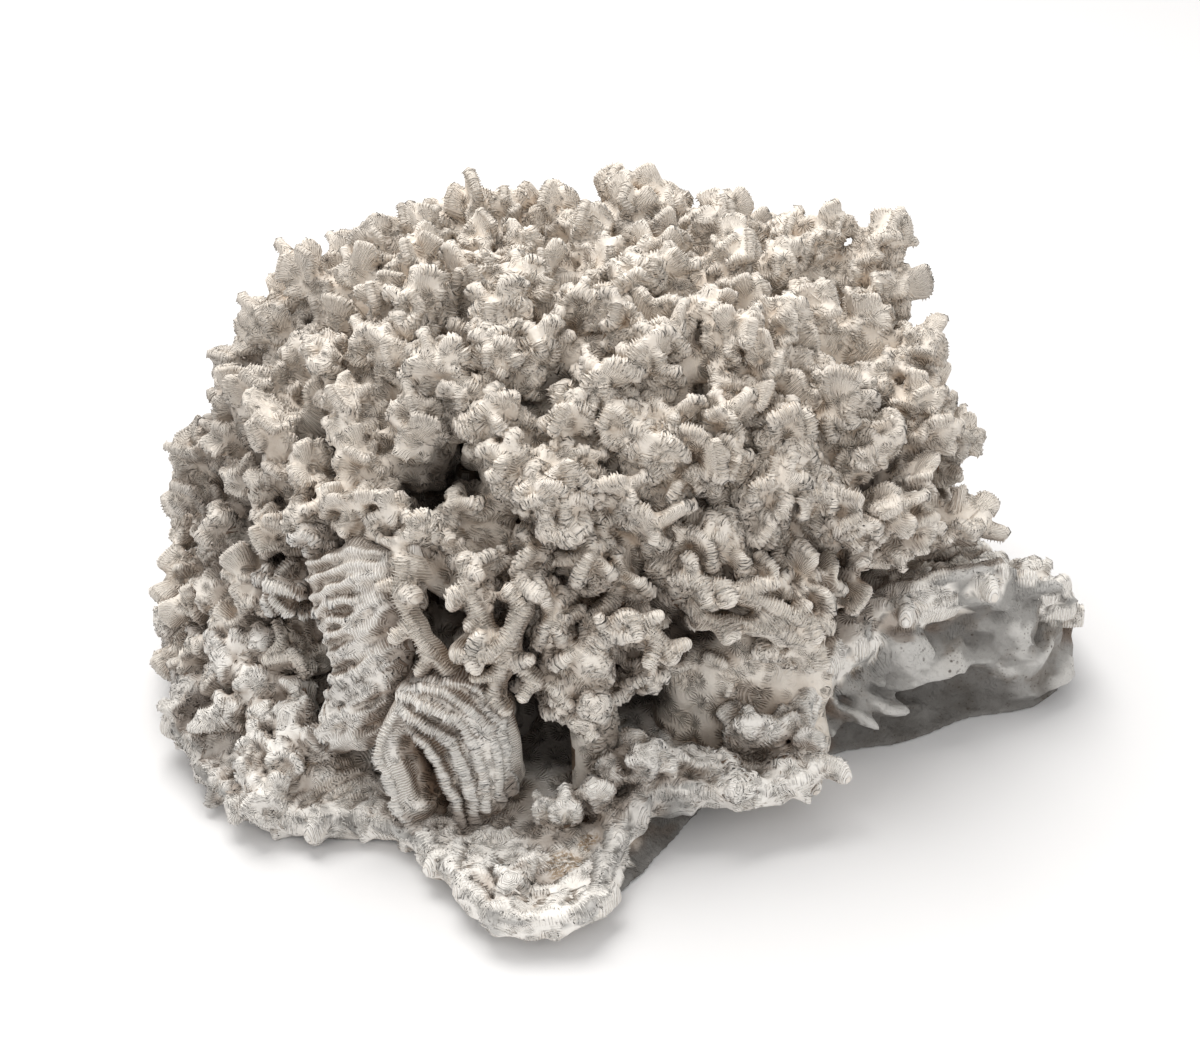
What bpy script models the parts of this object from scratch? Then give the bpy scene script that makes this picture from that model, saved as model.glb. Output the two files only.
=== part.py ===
"""Merulina coral: a bleached specimen, cut off flat under its base plate.

The coral grows out from a point low in its middle.  A tray-like base plate carries one bough for
each main fork, a ridged fan on the left and a folded ear in front of it.  Every bough is a trunk
that parts into stems, and each stem ends in a knot of rounded lobes.

Directions are given as a bearing and a climb in degrees, seen from the growth point: bearing 0 is
-Y (the front), +90 is +X (the right), and climb 90 is straight up.  Lengths in the tables are in
millimetres, and the model itself is in metres with +Z up.
"""
import math
import random

import bmesh
import bpy
from mathutils import Matrix, Vector

MM = 0.001

# The canopy: the rounded envelope that the tips of the boughs reach.
GROWTH_POINT = (-6.0, 24.0, 4.0)
CANOPY_RADII = (110.0, 86.0, 120.0)
CANOPY_POWER = 2.45

# Clearance between neighbours, and the resolution and share of faces that a grown solid keeps.
GAP = 0.36
CUTTER_EXTRA = 0.1
CUTTER_DEPTH = 10.0
BOUGH_VOXEL = 2.2
RIDGE_VOXEL = 1.6
FACES_PER_STEM = 35
FAN_FACES = 620
EAR_FACES = 420
FLAT_ANGLE = 1.0

# A bough: its trunk runs out to the fork, where the stems part, each round an elbow to its tip.
TRUNK_START = 14.0
TRUNK_RADIUS = 8.5
TRUNK_SIDES = 8
FORK_RADIUS = 13.0
FORK_SHARE = 0.62
ELBOW_SHARE = 0.72
STEM_RADIUS = 6.4
STEM_STEPS = 3
NECK_RADIUS = 4.6
LOBE_RADIUS = 5.0
LOBE_LENGTH = 7.0
LOBE_SPREAD = 4.2
LOBES_PER_STEM = 3
LOBE_SPREAD_RANGE = (0.8, 1.25)
LOBE_RADIUS_RANGE = (0.7, 0.95)
LOBE_BACK = (1.0, 6.0)
ARM_RADIUS = 3.2
ARM_ROOT_RADIUS = 5.0

# Base plate, right round from the back: bearing, foot radius, rim radius, rim height, floor height.
PLATE_PROFILE = (
    (-180, 76, 85, 15, 16), (-155, 84, 93, 14, 16), (-130, 94, 103, 12, 17), (-105, 101, 110, 12, 18),
    (-85, 105, 113, 13, 20), (-68, 109, 115, 15, 21), (-58, 115, 120, 13, 20), (-50, 117, 122, 10, 18),
    (-42, 115, 120, 9, 15), (-34, 110, 115, 9, 11), (-28, 103, 107, 9, 7), (-22, 103, 108, 9, 6),
    (-14, 112, 120, 10, 6), (-8, 124, 133, 11, 6), (1, 122, 131, 11, 6), (6, 112, 108, 14, 8),
    (11, 103, 97, 17, 9), (18, 91, 100, 18, 10), (27, 82, 106, 18, 11), (35, 80, 106, 20, 13),
    (40, 84, 91, 26, 17), (51, 91, 88, 32, 23), (61, 105, 94, 38, 28), (68, 114, 108, 46, 33),
    (73, 127, 123, 43, 32), (79, 134, 136, 30, 25), (87, 127, 132, 22, 19), (105, 105, 112, 15, 17),
    (130, 92, 101, 14, 17), (155, 82, 91, 15, 16),
)
PLATE_SPOKES = 66
MOUND_SPOKES = 22
PLATE_SEED = 11
PLATE_RUFFLE = 1.3
PLATE_LIFT = 0.9
PLEAT_DEPTH = 2.2
PLEATS = 21.0
RIM_THICKNESS = 3.2
RIM_ROUNDING = 1.6
RIM_SLOPE = 6.0
RIM_EDGE = 0.55
LIP_DROP = 0.7
WAIST_OUT = 0.35
WAIST_UP = 0.45
FLOOR_START = 20.0
# The mound in the middle: radius, and height over the floor; its top is a height over the cut.
MOUND = ((62.0, 3.0), (44.0, 10.0), (22.0, 17.0))
MOUND_TOP = 28.0

# Main forks: name, bearing and climb of the bough's axis.
BOUGHS = (
    ("bough_front", 2, 27), ("bough_front_left", -17, 33), ("bough_front_right", 27, 34),
    ("bough_low_left", -66, 14), ("bough_left", -72, 37), ("bough_mid_left", -48, 51),
    ("bough_high_left", -88, 62), ("bough_crown_left", -32, 69), ("bough_centre_left", -11, 52),
    ("bough_centre_right", 14, 53), ("bough_crown", 24, 71), ("bough_mid_right", 41, 48),
    ("bough_high_right", 56, 62), ("bough_horn", 104, 57), ("bough_right", 80, 42),
    ("bough_right_rim", 60, 27), ("bough_crown_back", -168, 77), ("bough_back_left", -128, 32),
    ("bough_back", 180, 36), ("bough_back_right", 124, 28),
)
FAN_AXIS = (-39, 26)
EAR_AXIS = (-23, 8)

# Stems by hand: bearing, climb and how far the tip stands out of the canopy.
STEMS = (
    # crown, from the back edge forward
    (-150, 72, 4), (-170, 76, 2), (-112, 68, 2), (170, 82, 2), (-98, 65, 4), (-88, 70, 0), (-92, 62, 1),
    (-95, 56, 7), (-91, 49, 4), (-57, 67, 3), (-60, 75, 0), (-42, 79, 0), (-60, 85, 2), (-30, 71, 1),
    (-73, 65, 0), (-25, 66, 2), (-13, 69, 0), (18, 73, 3), (33, 68, 1), (22, 66, 2), (155, 74, 3),
    (140, 69, 3), (125, 68, 6), (95, 80, 2), (75, 79, 3), (92, 70, 2), (7, 64, 2), (-1, 60, 0), (9, 60, -1),
    # left side
    (-66, 55, 1), (-60, 60, 0), (-50, 61, 1), (-37, 62, 2), (-28, 61, -1), (-38, 57, -1), (-20, 59, 0),
    (-53, 53, 0), (-75, 46, 1), (-79, 42, 2), (-64, 45, 0), (-76, 38, 1), (-80, 32, 5), (-60, 41, -2),
    (-45, 48, -1), (-37, 54, -3), (-78, 28, 2), (-69, 27, 0), (-52, 43, 1), (-60, 25, -4), (-52, 28, -6),
    (-72, 15, 1), (-79, 14, 6), (-60, 17, -3), (-66, 9, 3), (-52, 16, -5), (-82, 6, 2), (-74, 6, 4),
    (-58, 8, 2), (-86, 20, 1), (-88, 38, 1),
    # centre
    (-25, 48, -6), (-14, 54, 2), (-8, 51, 3), (-2, 49, 2), (-2, 54, 0), (16, 55, 1), (11, 51, 1),
    (15, 46, 0), (23, 58, 0), (34, 56, 1), (27, 53, 0), (22, 51, -2), (3, 43, -2), (9, 40, -3),
    (1, 30, 4), (-4, 35, 1), (1, 21, -1), (-18, 39, 1),
    # right side
    (49, 64, 3), (64, 62, 2), (52, 59, 0), (45, 57, -1), (82, 60, 1), (97, 64, 0), (105, 60, 2),
    (108, 57, 10), (104, 53, 18), (90, 51, 2), (97, 50, 8), (57, 50, 4), (86, 45, 9), (78, 42, 3),
    (76, 38, 4), (87, 31, 7),
    (33, 51, -1), (46, 52, 1), (44, 48, 0), (39, 46, -2), (57, 43, 2), (46, 42, 0), (50, 38, 0), (56, 36, 2),
    (36, 42, -3), (29, 41, -3), (24, 42, -2), (61, 32, 3), (72, 26, 8), (52, 30, -3), (44, 28, -4),
    (34, 34, -1), (40, 30, 0), (21, 38, 2), (66, 20, 4), (29, 22, -12),
)
# Behind, out of sight from the front, stems stand in rows: climb, first bearing, last, how many.
BACK_ROWS = (
    (66, 118, 240, 5), (56, 124, 254, 7), (45, 106, 262, 8), (34, 102, 266, 9), (23, 98, 268, 10),
    (13, 102, 262, 9),
)
BACK_JITTER = 4.0
BACK_GIRTH = 1.4
STEM_SEED = 5

# The fan's ridges, free edge first, and the ridges that stand on its right shoulder.
FAN_RIDGES = (
    ((-50, 41, 2), (-41, 44, 2), (-32, 43, -1)), ((-49, 36, 2), (-39, 39, 2), (-30, 39, -2)),
    ((-46, 32, 2), (-37, 35, 2), (-29, 36, -2)), ((-43, 28, 2), (-35, 31, 2), (-28, 33, -1)),
    ((-41, 24, 2), (-34, 27, 2), (-27, 30, 0)), ((-39, 20, 3), (-33, 23, 3), (-27, 26, 1)),
    ((-39, 16, 4), (-33, 19, 4), (-27, 22, 2)), ((-41, 12, 4), (-34, 15, 4), (-27, 18, 2)),
    ((-40, 8, 5), (-34, 11, 5), (-29, 14, 2)),
)
FAN_SHOULDER = (
    ((-28, 39, 3), (-24, 29, 5), (-20, 21, 2)), ((-22, 39, 4), (-20, 30, 5), (-16, 20, 2)),
    ((-14, 39, 3), (-13, 33, 5), (-14, 27, 3)),
)
# The ear's ridges, top first, with the thick folded edge and the far edge last.
EAR_RIDGES = (
    ((-31, 22, 3), (-22, 24, 7), (-14, 19, 3)), ((-29, 20, 6), (-20, 21, 9), (-13, 15, 4)),
    ((-27, 18, 9), (-19, 17, 9), (-15, 10, 6)), ((-21, 14, 8), (-17, 10, 8), (-15, 3, 6)),
    ((-28, 17, 9), (-25, 8, 13), (-17, -3, 10)), ((-13, 16, 3), (-11, 6, 2), (-12, -3, 5)),
)
RIDGE_RADIUS = 2.7
RIDGE_STEPS = 4
RIDGE_BODY_RADIUS = 5.0
RIDGE_BODY_DEPTH = 6.5
# Arms that lie along the thicket, root first: points as for the stems.
ARMS = (
    ((6, 1, -6), (6, 14, -3), (4, 22, -1), (2, 30, 3)),
    ((3, 29, 0), (9, 34, 4), (15, 28, 6)),
    ((-9, 40, 0), (-9, 35, 4), (-11, 28, 5), (-13, 21, 4)),
    ((19, 38, -3), (27, 35, 0), (35, 30, 1), (43, 23, 3)),
)

# Smallest edge that a finished solid keeps, and the size of the block that a share is cut from.
SMALLEST_EDGE = 0.02
SHARE_SIZE = 400.0

PALE_CORAL = (0.74, 0.69, 0.62)
PLATE_CORAL = (0.72, 0.68, 0.62)
FAN_CORAL = (0.66, 0.62, 0.57)
CORAL_ROUGHNESS = 0.9


def direction(bearing, climb):
    """Unit vector of a bearing and a climb, both in degrees."""
    b = math.radians(bearing)
    c = math.radians(climb)
    return Vector((math.sin(b) * math.cos(c), -math.cos(b) * math.cos(c), math.sin(c)))


def canopy_point(bearing, climb, reach=0.0, share=1.0):
    """Point on the canopy (millimetres), at a share of its radius and a reach beyond that."""
    ray = direction(bearing, climb)
    total = sum((abs(part) / radius) ** CANOPY_POWER for part, radius in zip(ray, CANOPY_RADII))
    return Vector(GROWTH_POINT) + ray * (share * total ** (-1.0 / CANOPY_POWER) + reach)


def remove_scene_objects():
    """Start from an empty scene."""
    for thing in list(bpy.data.objects):
        bpy.data.objects.remove(thing, do_unlink=True)


def finish(name, colour):
    """Matt Principled material of one part."""
    material = bpy.data.materials.new(name)
    material.use_nodes = True
    shader = material.node_tree.nodes["Principled BSDF"]
    shader.inputs["Base Color"].default_value = (*colour, 1.0)
    shader.inputs["Roughness"].default_value = CORAL_ROUGHNESS
    shader.inputs["Metallic"].default_value = 0.0
    return material


def new_object(name, mesh_source, material=None):
    """Object from a bmesh in millimetres, scaled to metres."""
    mesh = bpy.data.meshes.new(name)
    mesh_source.transform(Matrix.Scale(MM, 4))
    mesh_source.to_mesh(mesh)
    mesh_source.free()
    thing = bpy.data.objects.new(name, mesh)
    bpy.context.collection.objects.link(thing)
    if material:
        mesh.materials.append(material)
    return thing


def add_taper(mesh, start, end, start_radius, end_radius):
    """Round-ended tapered rod between two points."""
    for centre, radius in ((start, start_radius), (end, end_radius)):
        bmesh.ops.create_icosphere(mesh, subdivisions=1, radius=radius, matrix=Matrix.Translation(centre))
    run = end - start
    turn = Vector((0, 0, 1)).rotation_difference(run.normalized()).to_matrix().to_4x4()
    bmesh.ops.create_cone(
        mesh, cap_ends=True, segments=TRUNK_SIDES, radius1=start_radius, radius2=end_radius,
        depth=run.length, matrix=Matrix.Translation((start + end) / 2) @ turn)


def add_path(mesh, points, start_radius, end_radius):
    """Chain of tapered rods through the points."""
    last = len(points) - 1
    radii = [start_radius + (end_radius - start_radius) * i / last for i in range(last + 1)]
    for i in range(last):
        add_taper(mesh, points[i], points[i + 1], radii[i], radii[i + 1])


def bend(start, middle, end, steps):
    """Points along a curve from start to end, drawn towards middle."""
    points = []
    for i in range(steps + 1):
        t = i / steps
        points.append(start * (1 - t) ** 2 + middle * (2 * t * (1 - t)) + end * t ** 2)
    return points


def all_stems():
    """Every stem: the hand-placed ones, then the rows at the back."""
    chance = random.Random(STEM_SEED)
    stems = [(*stem, 1.0) for stem in STEMS]
    for climb, first, last, count in BACK_ROWS:
        for i in range(count):
            bearing = first + (last - first) * i / (count - 1) + chance.uniform(-BACK_JITTER, BACK_JITTER)
            if bearing > 180:
                bearing -= 360
            rise = chance.uniform(-BACK_JITTER, BACK_JITTER)
            stems.append((bearing, climb + rise, chance.uniform(-2, 4), BACK_GIRTH))
    return stems


def all_axes():
    """Name and direction of each part that shares out the space round the growth point."""
    axes = [(name, direction(bearing, climb)) for name, bearing, climb in BOUGHS]
    axes.append(("fan", direction(*FAN_AXIS)))
    axes.append(("ear", direction(*EAR_AXIS)))
    return axes


def nearest_axis(axes, ray):
    """Name of the part whose axis is nearest to a direction."""
    return max(axes, key=lambda axis: axis[1].dot(ray))[0]


def stems_by_bough():
    """Each stem goes to the bough whose axis is nearest to it."""
    axes = all_axes()
    groups = {name: [] for name, _ in axes}
    for stem in all_stems():
        groups[nearest_axis(axes, direction(stem[0], stem[1]))].append(stem)
    return groups


def arms_by_bough():
    """Each arm goes to the bough whose axis is nearest to the arm's middle."""
    axes = [axis for axis in all_axes() if axis[0] not in ("fan", "ear")]
    groups = {name: [] for name, _ in axes}
    for arm in ARMS:
        bearing, climb, _ = arm[len(arm) // 2]
        groups[nearest_axis(axes, direction(bearing, climb))].append(arm)
    return groups


def add_knot(mesh, tip, ray, girth, chance):
    """Knot of rounded lobes at a stem's tip."""
    side = ray.cross(Vector((0, 0, 1)))
    if side.length < 0.1:
        side = ray.cross(Vector((0, 1, 0)))
    side.normalize()
    turn = chance.uniform(0, math.tau)
    for i in range(LOBES_PER_STEM):
        angle = turn + math.tau * i / LOBES_PER_STEM
        across = Matrix.Rotation(angle, 3, ray) @ side
        spread = LOBE_SPREAD * girth * chance.uniform(*LOBE_SPREAD_RANGE)
        back = chance.uniform(*LOBE_BACK)
        lobe = tip + across * spread - ray * back
        radius = LOBE_RADIUS * girth * chance.uniform(*LOBE_RADIUS_RANGE)
        add_taper(mesh, tip - ray * (back + LOBE_LENGTH), lobe, NECK_RADIUS * girth, radius)


def bough_growth(bearing, climb, stems, arms, chance):
    """Trunk, stems, knots and arms of one bough as overlapping rods."""
    mesh = bmesh.new()
    ray = direction(bearing, climb)
    fork = canopy_point(bearing, climb, 0.0, FORK_SHARE)
    add_path(mesh, [Vector(GROWTH_POINT) + ray * TRUNK_START, fork], TRUNK_RADIUS, FORK_RADIUS)
    for stem_bearing, stem_climb, reach, girth in stems:
        stem_ray = direction(stem_bearing, stem_climb)
        elbow = canopy_point(stem_bearing, stem_climb, 0.0, ELBOW_SHARE)
        tip = canopy_point(stem_bearing, stem_climb, reach - NECK_RADIUS * girth)
        add_path(mesh, bend(fork, elbow, tip, STEM_STEPS), STEM_RADIUS * girth, NECK_RADIUS * girth)
        add_knot(mesh, tip, stem_ray, girth, chance)
    for arm in arms:
        points = [canopy_point(*point) for point in arm]
        add_path(mesh, [fork, points[0]], ARM_ROOT_RADIUS, ARM_RADIUS)
        add_path(mesh, points, ARM_RADIUS, ARM_RADIUS)
    return mesh


def ridge_growth(axis, ridges, stems, chance):
    """A ridged lamina: rods along every crest, a thicker body under them, and its own trunk."""
    mesh = bough_growth(axis[0], axis[1], stems, (), chance)
    root = canopy_point(axis[0], axis[1], 0.0, FORK_SHARE)
    for ridge in ridges:
        crest = bend_through([canopy_point(*point) for point in ridge])
        add_path(mesh, crest, RIDGE_RADIUS, RIDGE_RADIUS)
        body = [canopy_point(b, c, reach - RIDGE_BODY_DEPTH) for b, c, reach in ridge]
        add_path(mesh, body, RIDGE_BODY_RADIUS, RIDGE_BODY_RADIUS)
        add_path(mesh, [root, body[1]], TRUNK_RADIUS, RIDGE_BODY_RADIUS)
    return mesh


def bend_through(points):
    """Smooth run of points through three given ones."""
    start, middle, end = points
    pull = middle * 2 - (start + end) / 2
    return bend(start, pull, end, RIDGE_STEPS)


def plate_values(bearing):
    """Foot radius, rim radius, rim height and floor height at a bearing, on a smooth closed curve."""
    rows = PLATE_PROFILE
    count = len(rows)
    turn = (bearing + 180.0) % 360.0 - 180.0
    index = max(i for i in range(count) if rows[i][0] <= turn)
    before, here = rows[index - 1], rows[index]
    there, after = rows[(index + 1) % count], rows[(index + 2) % count]
    step = (there[0] - here[0]) % 360
    t = (turn - here[0]) / step
    values = []
    for k in range(1, 5):
        slope_here = (there[k] - before[k]) / 2
        slope_there = (after[k] - here[k]) / 2
        values.append(
            here[k] * (2 * t ** 3 - 3 * t ** 2 + 1) + slope_here * (t ** 3 - 2 * t ** 2 + t)
            + there[k] * (3 * t ** 2 - 2 * t ** 3) + slope_there * (t ** 3 - t ** 2))
    return values


def plate_rings(swell, bottom):
    """The plate's outer rings, one column of points for each spoke, and the mound's, on fewer spokes."""
    chance = random.Random(PLATE_SEED)
    outer = []
    mound = []
    for i in range(PLATE_SPOKES):
        bearing = -180.0 + 360.0 * i / PLATE_SPOKES
        foot, rim, height, floor = plate_values(bearing)
        ruffle = chance.uniform(-PLATE_RUFFLE, PLATE_RUFFLE)
        lift = chance.uniform(-PLATE_LIFT, PLATE_LIFT)
        pleat = PLEAT_DEPTH * math.sin(math.radians(bearing) * PLEATS)
        column = [
            (foot + swell, bottom),
            (foot + WAIST_OUT * (rim - foot) + pleat + swell, WAIST_UP * height),
            (rim + ruffle + swell, height - RIM_EDGE * RIM_THICKNESS + lift),
            (rim + ruffle - RIM_ROUNDING, height + lift + swell),
            (rim - RIM_SLOPE, height - LIP_DROP * RIM_THICKNESS + swell),
            (rim - FLOOR_START, floor + swell),
        ]
        outer.append([plate_point(bearing, radius, z) for radius, z in column])
        if i % (PLATE_SPOKES // MOUND_SPOKES) == 0:
            mound.append([plate_point(bearing, radius, floor + rise + swell) for radius, rise in MOUND])
    return outer, mound


def plate_point(bearing, radius, z):
    """Point at a bearing and a radius from the growth point's axis, at a height above the cut."""
    out = direction(bearing, 0)
    return GROWTH_POINT[0] + out.x * radius, GROWTH_POINT[1] + out.y * radius, z


def plate_growth(swell, bottom):
    """Base plate as rings from the cut face up over the rim to the mound, swollen by a clearance."""
    mesh = bmesh.new()
    outer, mound = plate_rings(swell, bottom)
    outer = [[mesh.verts.new(point) for point in column] for column in outer]
    mound = [[mesh.verts.new(point) for point in column] for column in mound]
    bridge_columns(mesh, outer)
    bridge_columns(mesh, mound)
    under = mesh.verts.new(plate_point(0, 0, bottom))
    top = mesh.verts.new(plate_point(0, 0, MOUND_TOP + swell))
    for i, column in enumerate(outer):
        mesh.faces.new((under, outer[(i + 1) % PLATE_SPOKES][0], column[0]))
    stride = PLATE_SPOKES // MOUND_SPOKES
    for i, column in enumerate(mound):
        there = mound[(i + 1) % MOUND_SPOKES]
        mesh.faces.new((top, column[-1], there[-1]))
        arc = [outer[(i * stride + k) % PLATE_SPOKES][-1] for k in range(stride + 1)]
        mesh.faces.new((*arc, there[0], column[0]))
    bmesh.ops.triangulate(mesh, faces=mesh.faces)
    bmesh.ops.recalc_face_normals(mesh, faces=mesh.faces)
    return mesh


def bridge_columns(mesh, columns):
    """Faces between each column of points and the next, right round."""
    for i, here in enumerate(columns):
        there = columns[(i + 1) % len(columns)]
        for k in range(len(here) - 1):
            mesh.faces.new((here[k], there[k], there[k + 1], here[k + 1]))


def share_of_space(name):
    """Convex wedge that belongs to one part, bounded half way to each of its neighbours."""
    axes = dict(all_axes())
    own = axes.pop(name)
    centre = Vector(GROWTH_POINT)
    mesh = bmesh.new()
    bmesh.ops.create_cube(mesh, size=SHARE_SIZE)
    for other in axes.values():
        across = (other - own).normalized()
        point = centre - across * (GAP / 2)
        cut = bmesh.ops.bisect_plane(
            mesh, geom=mesh.verts[:] + mesh.edges[:] + mesh.faces[:], plane_co=point,
            plane_no=across, clear_outer=True)
        edges = [item for item in cut["geom_cut"] if isinstance(item, bmesh.types.BMEdge)]
        if edges:
            bmesh.ops.contextual_create(mesh, geom=edges)
    bmesh.ops.triangulate(mesh, faces=mesh.faces)
    bmesh.ops.recalc_face_normals(mesh, faces=mesh.faces)
    return mesh


def as_helper(thing):
    """Mark a cutter, which is not a part."""
    thing.hide_render = True
    thing.display_type = "WIRE"
    return thing


def grow_solid(thing, voxel, faces):
    """Fuse the rods into one skin and thin it to the wanted number of faces."""
    skin = thing.modifiers.new("skin", "REMESH")
    skin.mode = "VOXEL"
    skin.voxel_size = voxel * MM
    settle(thing)
    thin = thing.modifiers.new("thin", "DECIMATE")
    thin.ratio = min(1.0, faces / len(thing.data.polygons) / 2)
    thin.use_collapse_triangulate = True
    settle(thing)


def cut(thing, cutter, operation):
    """Boolean with a helper, applied."""
    step = thing.modifiers.new(operation.lower(), "BOOLEAN")
    step.operation = operation
    step.solver = "EXACT"
    step.object = cutter
    settle(thing)


def settle(thing):
    """Apply an object's modifiers."""
    bpy.context.view_layer.update()
    shape = thing.evaluated_get(bpy.context.evaluated_depsgraph_get())
    mesh = bpy.data.meshes.new_from_object(shape)
    thing.modifiers.clear()
    thing.data = mesh


def keep_largest(thing):
    """Drop the crumbs that the cuts leave, and keep the one grown piece."""
    mesh = bmesh.new()
    mesh.from_mesh(thing.data)
    bmesh.ops.remove_doubles(mesh, verts=mesh.verts, dist=SMALLEST_EDGE * MM)
    bmesh.ops.dissolve_degenerate(mesh, edges=mesh.edges, dist=SMALLEST_EDGE * MM)
    bmesh.ops.dissolve_limit(mesh, angle_limit=math.radians(FLAT_ANGLE), verts=mesh.verts, edges=mesh.edges)
    bmesh.ops.triangulate(mesh, faces=mesh.faces)
    waiting = set(mesh.faces)
    islands = []
    while waiting:
        stack = [waiting.pop()]
        island = []
        while stack:
            face = stack.pop()
            island.append(face)
            for edge in face.edges:
                for near in edge.link_faces:
                    if near in waiting:
                        waiting.remove(near)
                        stack.append(near)
        islands.append(island)
    islands.sort(key=len, reverse=True)
    for island in islands[1:]:
        bmesh.ops.delete(mesh, geom=island, context="FACES")
    loose = [vert for vert in mesh.verts if not vert.link_faces]
    bmesh.ops.delete(mesh, geom=loose, context="VERTS")
    mesh.to_mesh(thing.data)
    mesh.free()


def build_plate():
    """The base plate itself, cut flat at the bottom."""
    return new_object("base_plate", plate_growth(0.0, 0.0), finish("plate", PLATE_CORAL))


def build_grown(name, space, growth, voxel, faces, material, plate_cutter):
    """One grown part: fused, thinned, kept to its own share of space and clear of the plate."""
    thing = new_object(name, growth, material)
    grow_solid(thing, voxel, faces)
    wedge = as_helper(new_object("wedge", share_of_space(space)))
    cut(thing, wedge, "INTERSECT")
    cut(thing, plate_cutter, "DIFFERENCE")
    bpy.data.objects.remove(wedge, do_unlink=True)
    keep_largest(thing)
    return thing


def main():
    """Build every part of the coral."""
    remove_scene_objects()
    chance = random.Random(STEM_SEED)
    build_plate()
    plate_cutter = as_helper(new_object("plate_cutter", plate_growth(GAP + CUTTER_EXTRA, -CUTTER_DEPTH)))
    stems, arms = stems_by_bough(), arms_by_bough()
    for name, bearing, climb in BOUGHS:
        growth = bough_growth(bearing, climb, stems[name], arms[name], chance)
        faces = FACES_PER_STEM * (len(stems[name]) + len(arms[name]))
        build_grown(name, name, growth, BOUGH_VOXEL, faces, finish(name, PALE_CORAL), plate_cutter)
    fan = ridge_growth(FAN_AXIS, FAN_RIDGES + FAN_SHOULDER, stems["fan"], chance)
    build_grown("left_fan", "fan", fan, RIDGE_VOXEL, FAN_FACES, finish("fan", FAN_CORAL), plate_cutter)
    ear = ridge_growth(EAR_AXIS, EAR_RIDGES, stems["ear"], chance)
    build_grown("front_ear", "ear", ear, RIDGE_VOXEL, EAR_FACES, finish("ear", PALE_CORAL), plate_cutter)
    bpy.data.objects.remove(plate_cutter, do_unlink=True)


main()
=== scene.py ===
"""Merulina coral, a bleached table specimen on a pale floor.

The colony grows out from a low point in its middle.  A tray-like plate carries one bough for each
main fork, a ridged fan on the left and a folded ear in front of it.  Every living surface is a
thicket of thin walls, and across each wall run fine septa like the teeth of a comb.

Walls, stems and knobs are laid out as tapered rods in millimetres, then fused on a grid of signed
distances and skinned.  Each point of the skin remembers the rod that made it, which gives the
finishes the run of the septa, the height of the crest and the depth in the thicket.
"""
from __future__ import annotations

import logging
import math
from dataclasses import dataclass, field
from enum import Enum
from random import Random
from typing import Sequence

import bpy
import numpy as np
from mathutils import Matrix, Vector


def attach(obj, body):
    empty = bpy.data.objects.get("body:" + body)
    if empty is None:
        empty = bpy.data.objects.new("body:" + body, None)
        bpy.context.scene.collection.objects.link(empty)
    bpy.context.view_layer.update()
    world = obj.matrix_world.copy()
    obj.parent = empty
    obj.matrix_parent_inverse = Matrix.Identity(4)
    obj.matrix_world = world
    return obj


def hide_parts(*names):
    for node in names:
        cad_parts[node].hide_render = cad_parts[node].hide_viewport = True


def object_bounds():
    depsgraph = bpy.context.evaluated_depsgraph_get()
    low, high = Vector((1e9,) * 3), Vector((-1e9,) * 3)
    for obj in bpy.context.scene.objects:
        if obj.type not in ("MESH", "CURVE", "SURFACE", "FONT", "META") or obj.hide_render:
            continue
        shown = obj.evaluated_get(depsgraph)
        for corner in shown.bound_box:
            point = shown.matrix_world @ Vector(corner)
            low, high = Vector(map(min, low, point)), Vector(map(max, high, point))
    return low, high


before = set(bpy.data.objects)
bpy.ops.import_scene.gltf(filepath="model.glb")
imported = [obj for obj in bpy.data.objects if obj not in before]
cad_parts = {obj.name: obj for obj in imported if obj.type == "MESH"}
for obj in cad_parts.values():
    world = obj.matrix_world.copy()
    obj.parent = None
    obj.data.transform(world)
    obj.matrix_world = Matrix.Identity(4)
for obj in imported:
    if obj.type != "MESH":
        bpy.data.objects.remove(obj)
CAD_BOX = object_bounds()

LOG = logging.getLogger("coral")
MM = 0.001
Array = np.ndarray
Socket = bpy.types.NodeSocket
Amount = Array | float
Pair = tuple[float, float]
Triple = tuple[float, float, float]
Colour = Triple
UP = np.array((0.0, 0.0, 1.0))

# The growth of the colony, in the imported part's own millimetres and degrees.
TRUNK_START = 14.0
TRUNK_RADIUS = 8.5
FORK_RADIUS = 12.5
FORK_SHARE = 0.62
ELBOW_SHARE = 0.72
SEPTA_PITCH = 0.72
GOLDEN_ANGLE = 137.508

BOUGHS = (
    ("bough_front", 2, 27), ("bough_front_left", -17, 33), ("bough_front_right", 27, 34),
    ("bough_low_left", -66, 14), ("bough_left", -72, 37), ("bough_mid_left", -48, 51),
    ("bough_high_left", -88, 62), ("bough_crown_left", -32, 69), ("bough_centre_left", -11, 52),
    ("bough_centre_right", 14, 53), ("bough_crown", 24, 71), ("bough_mid_right", 41, 48),
    ("bough_high_right", 56, 62), ("bough_horn", 104, 57), ("bough_right", 80, 42),
    ("bough_right_rim", 60, 27), ("bough_crown_back", -168, 77), ("bough_back_left", -128, 32),
    ("bough_back", 180, 36), ("bough_back_right", 124, 28),
)
FAN_AXIS = (-39, 26)
EAR_AXIS = (-23, 8)

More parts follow.
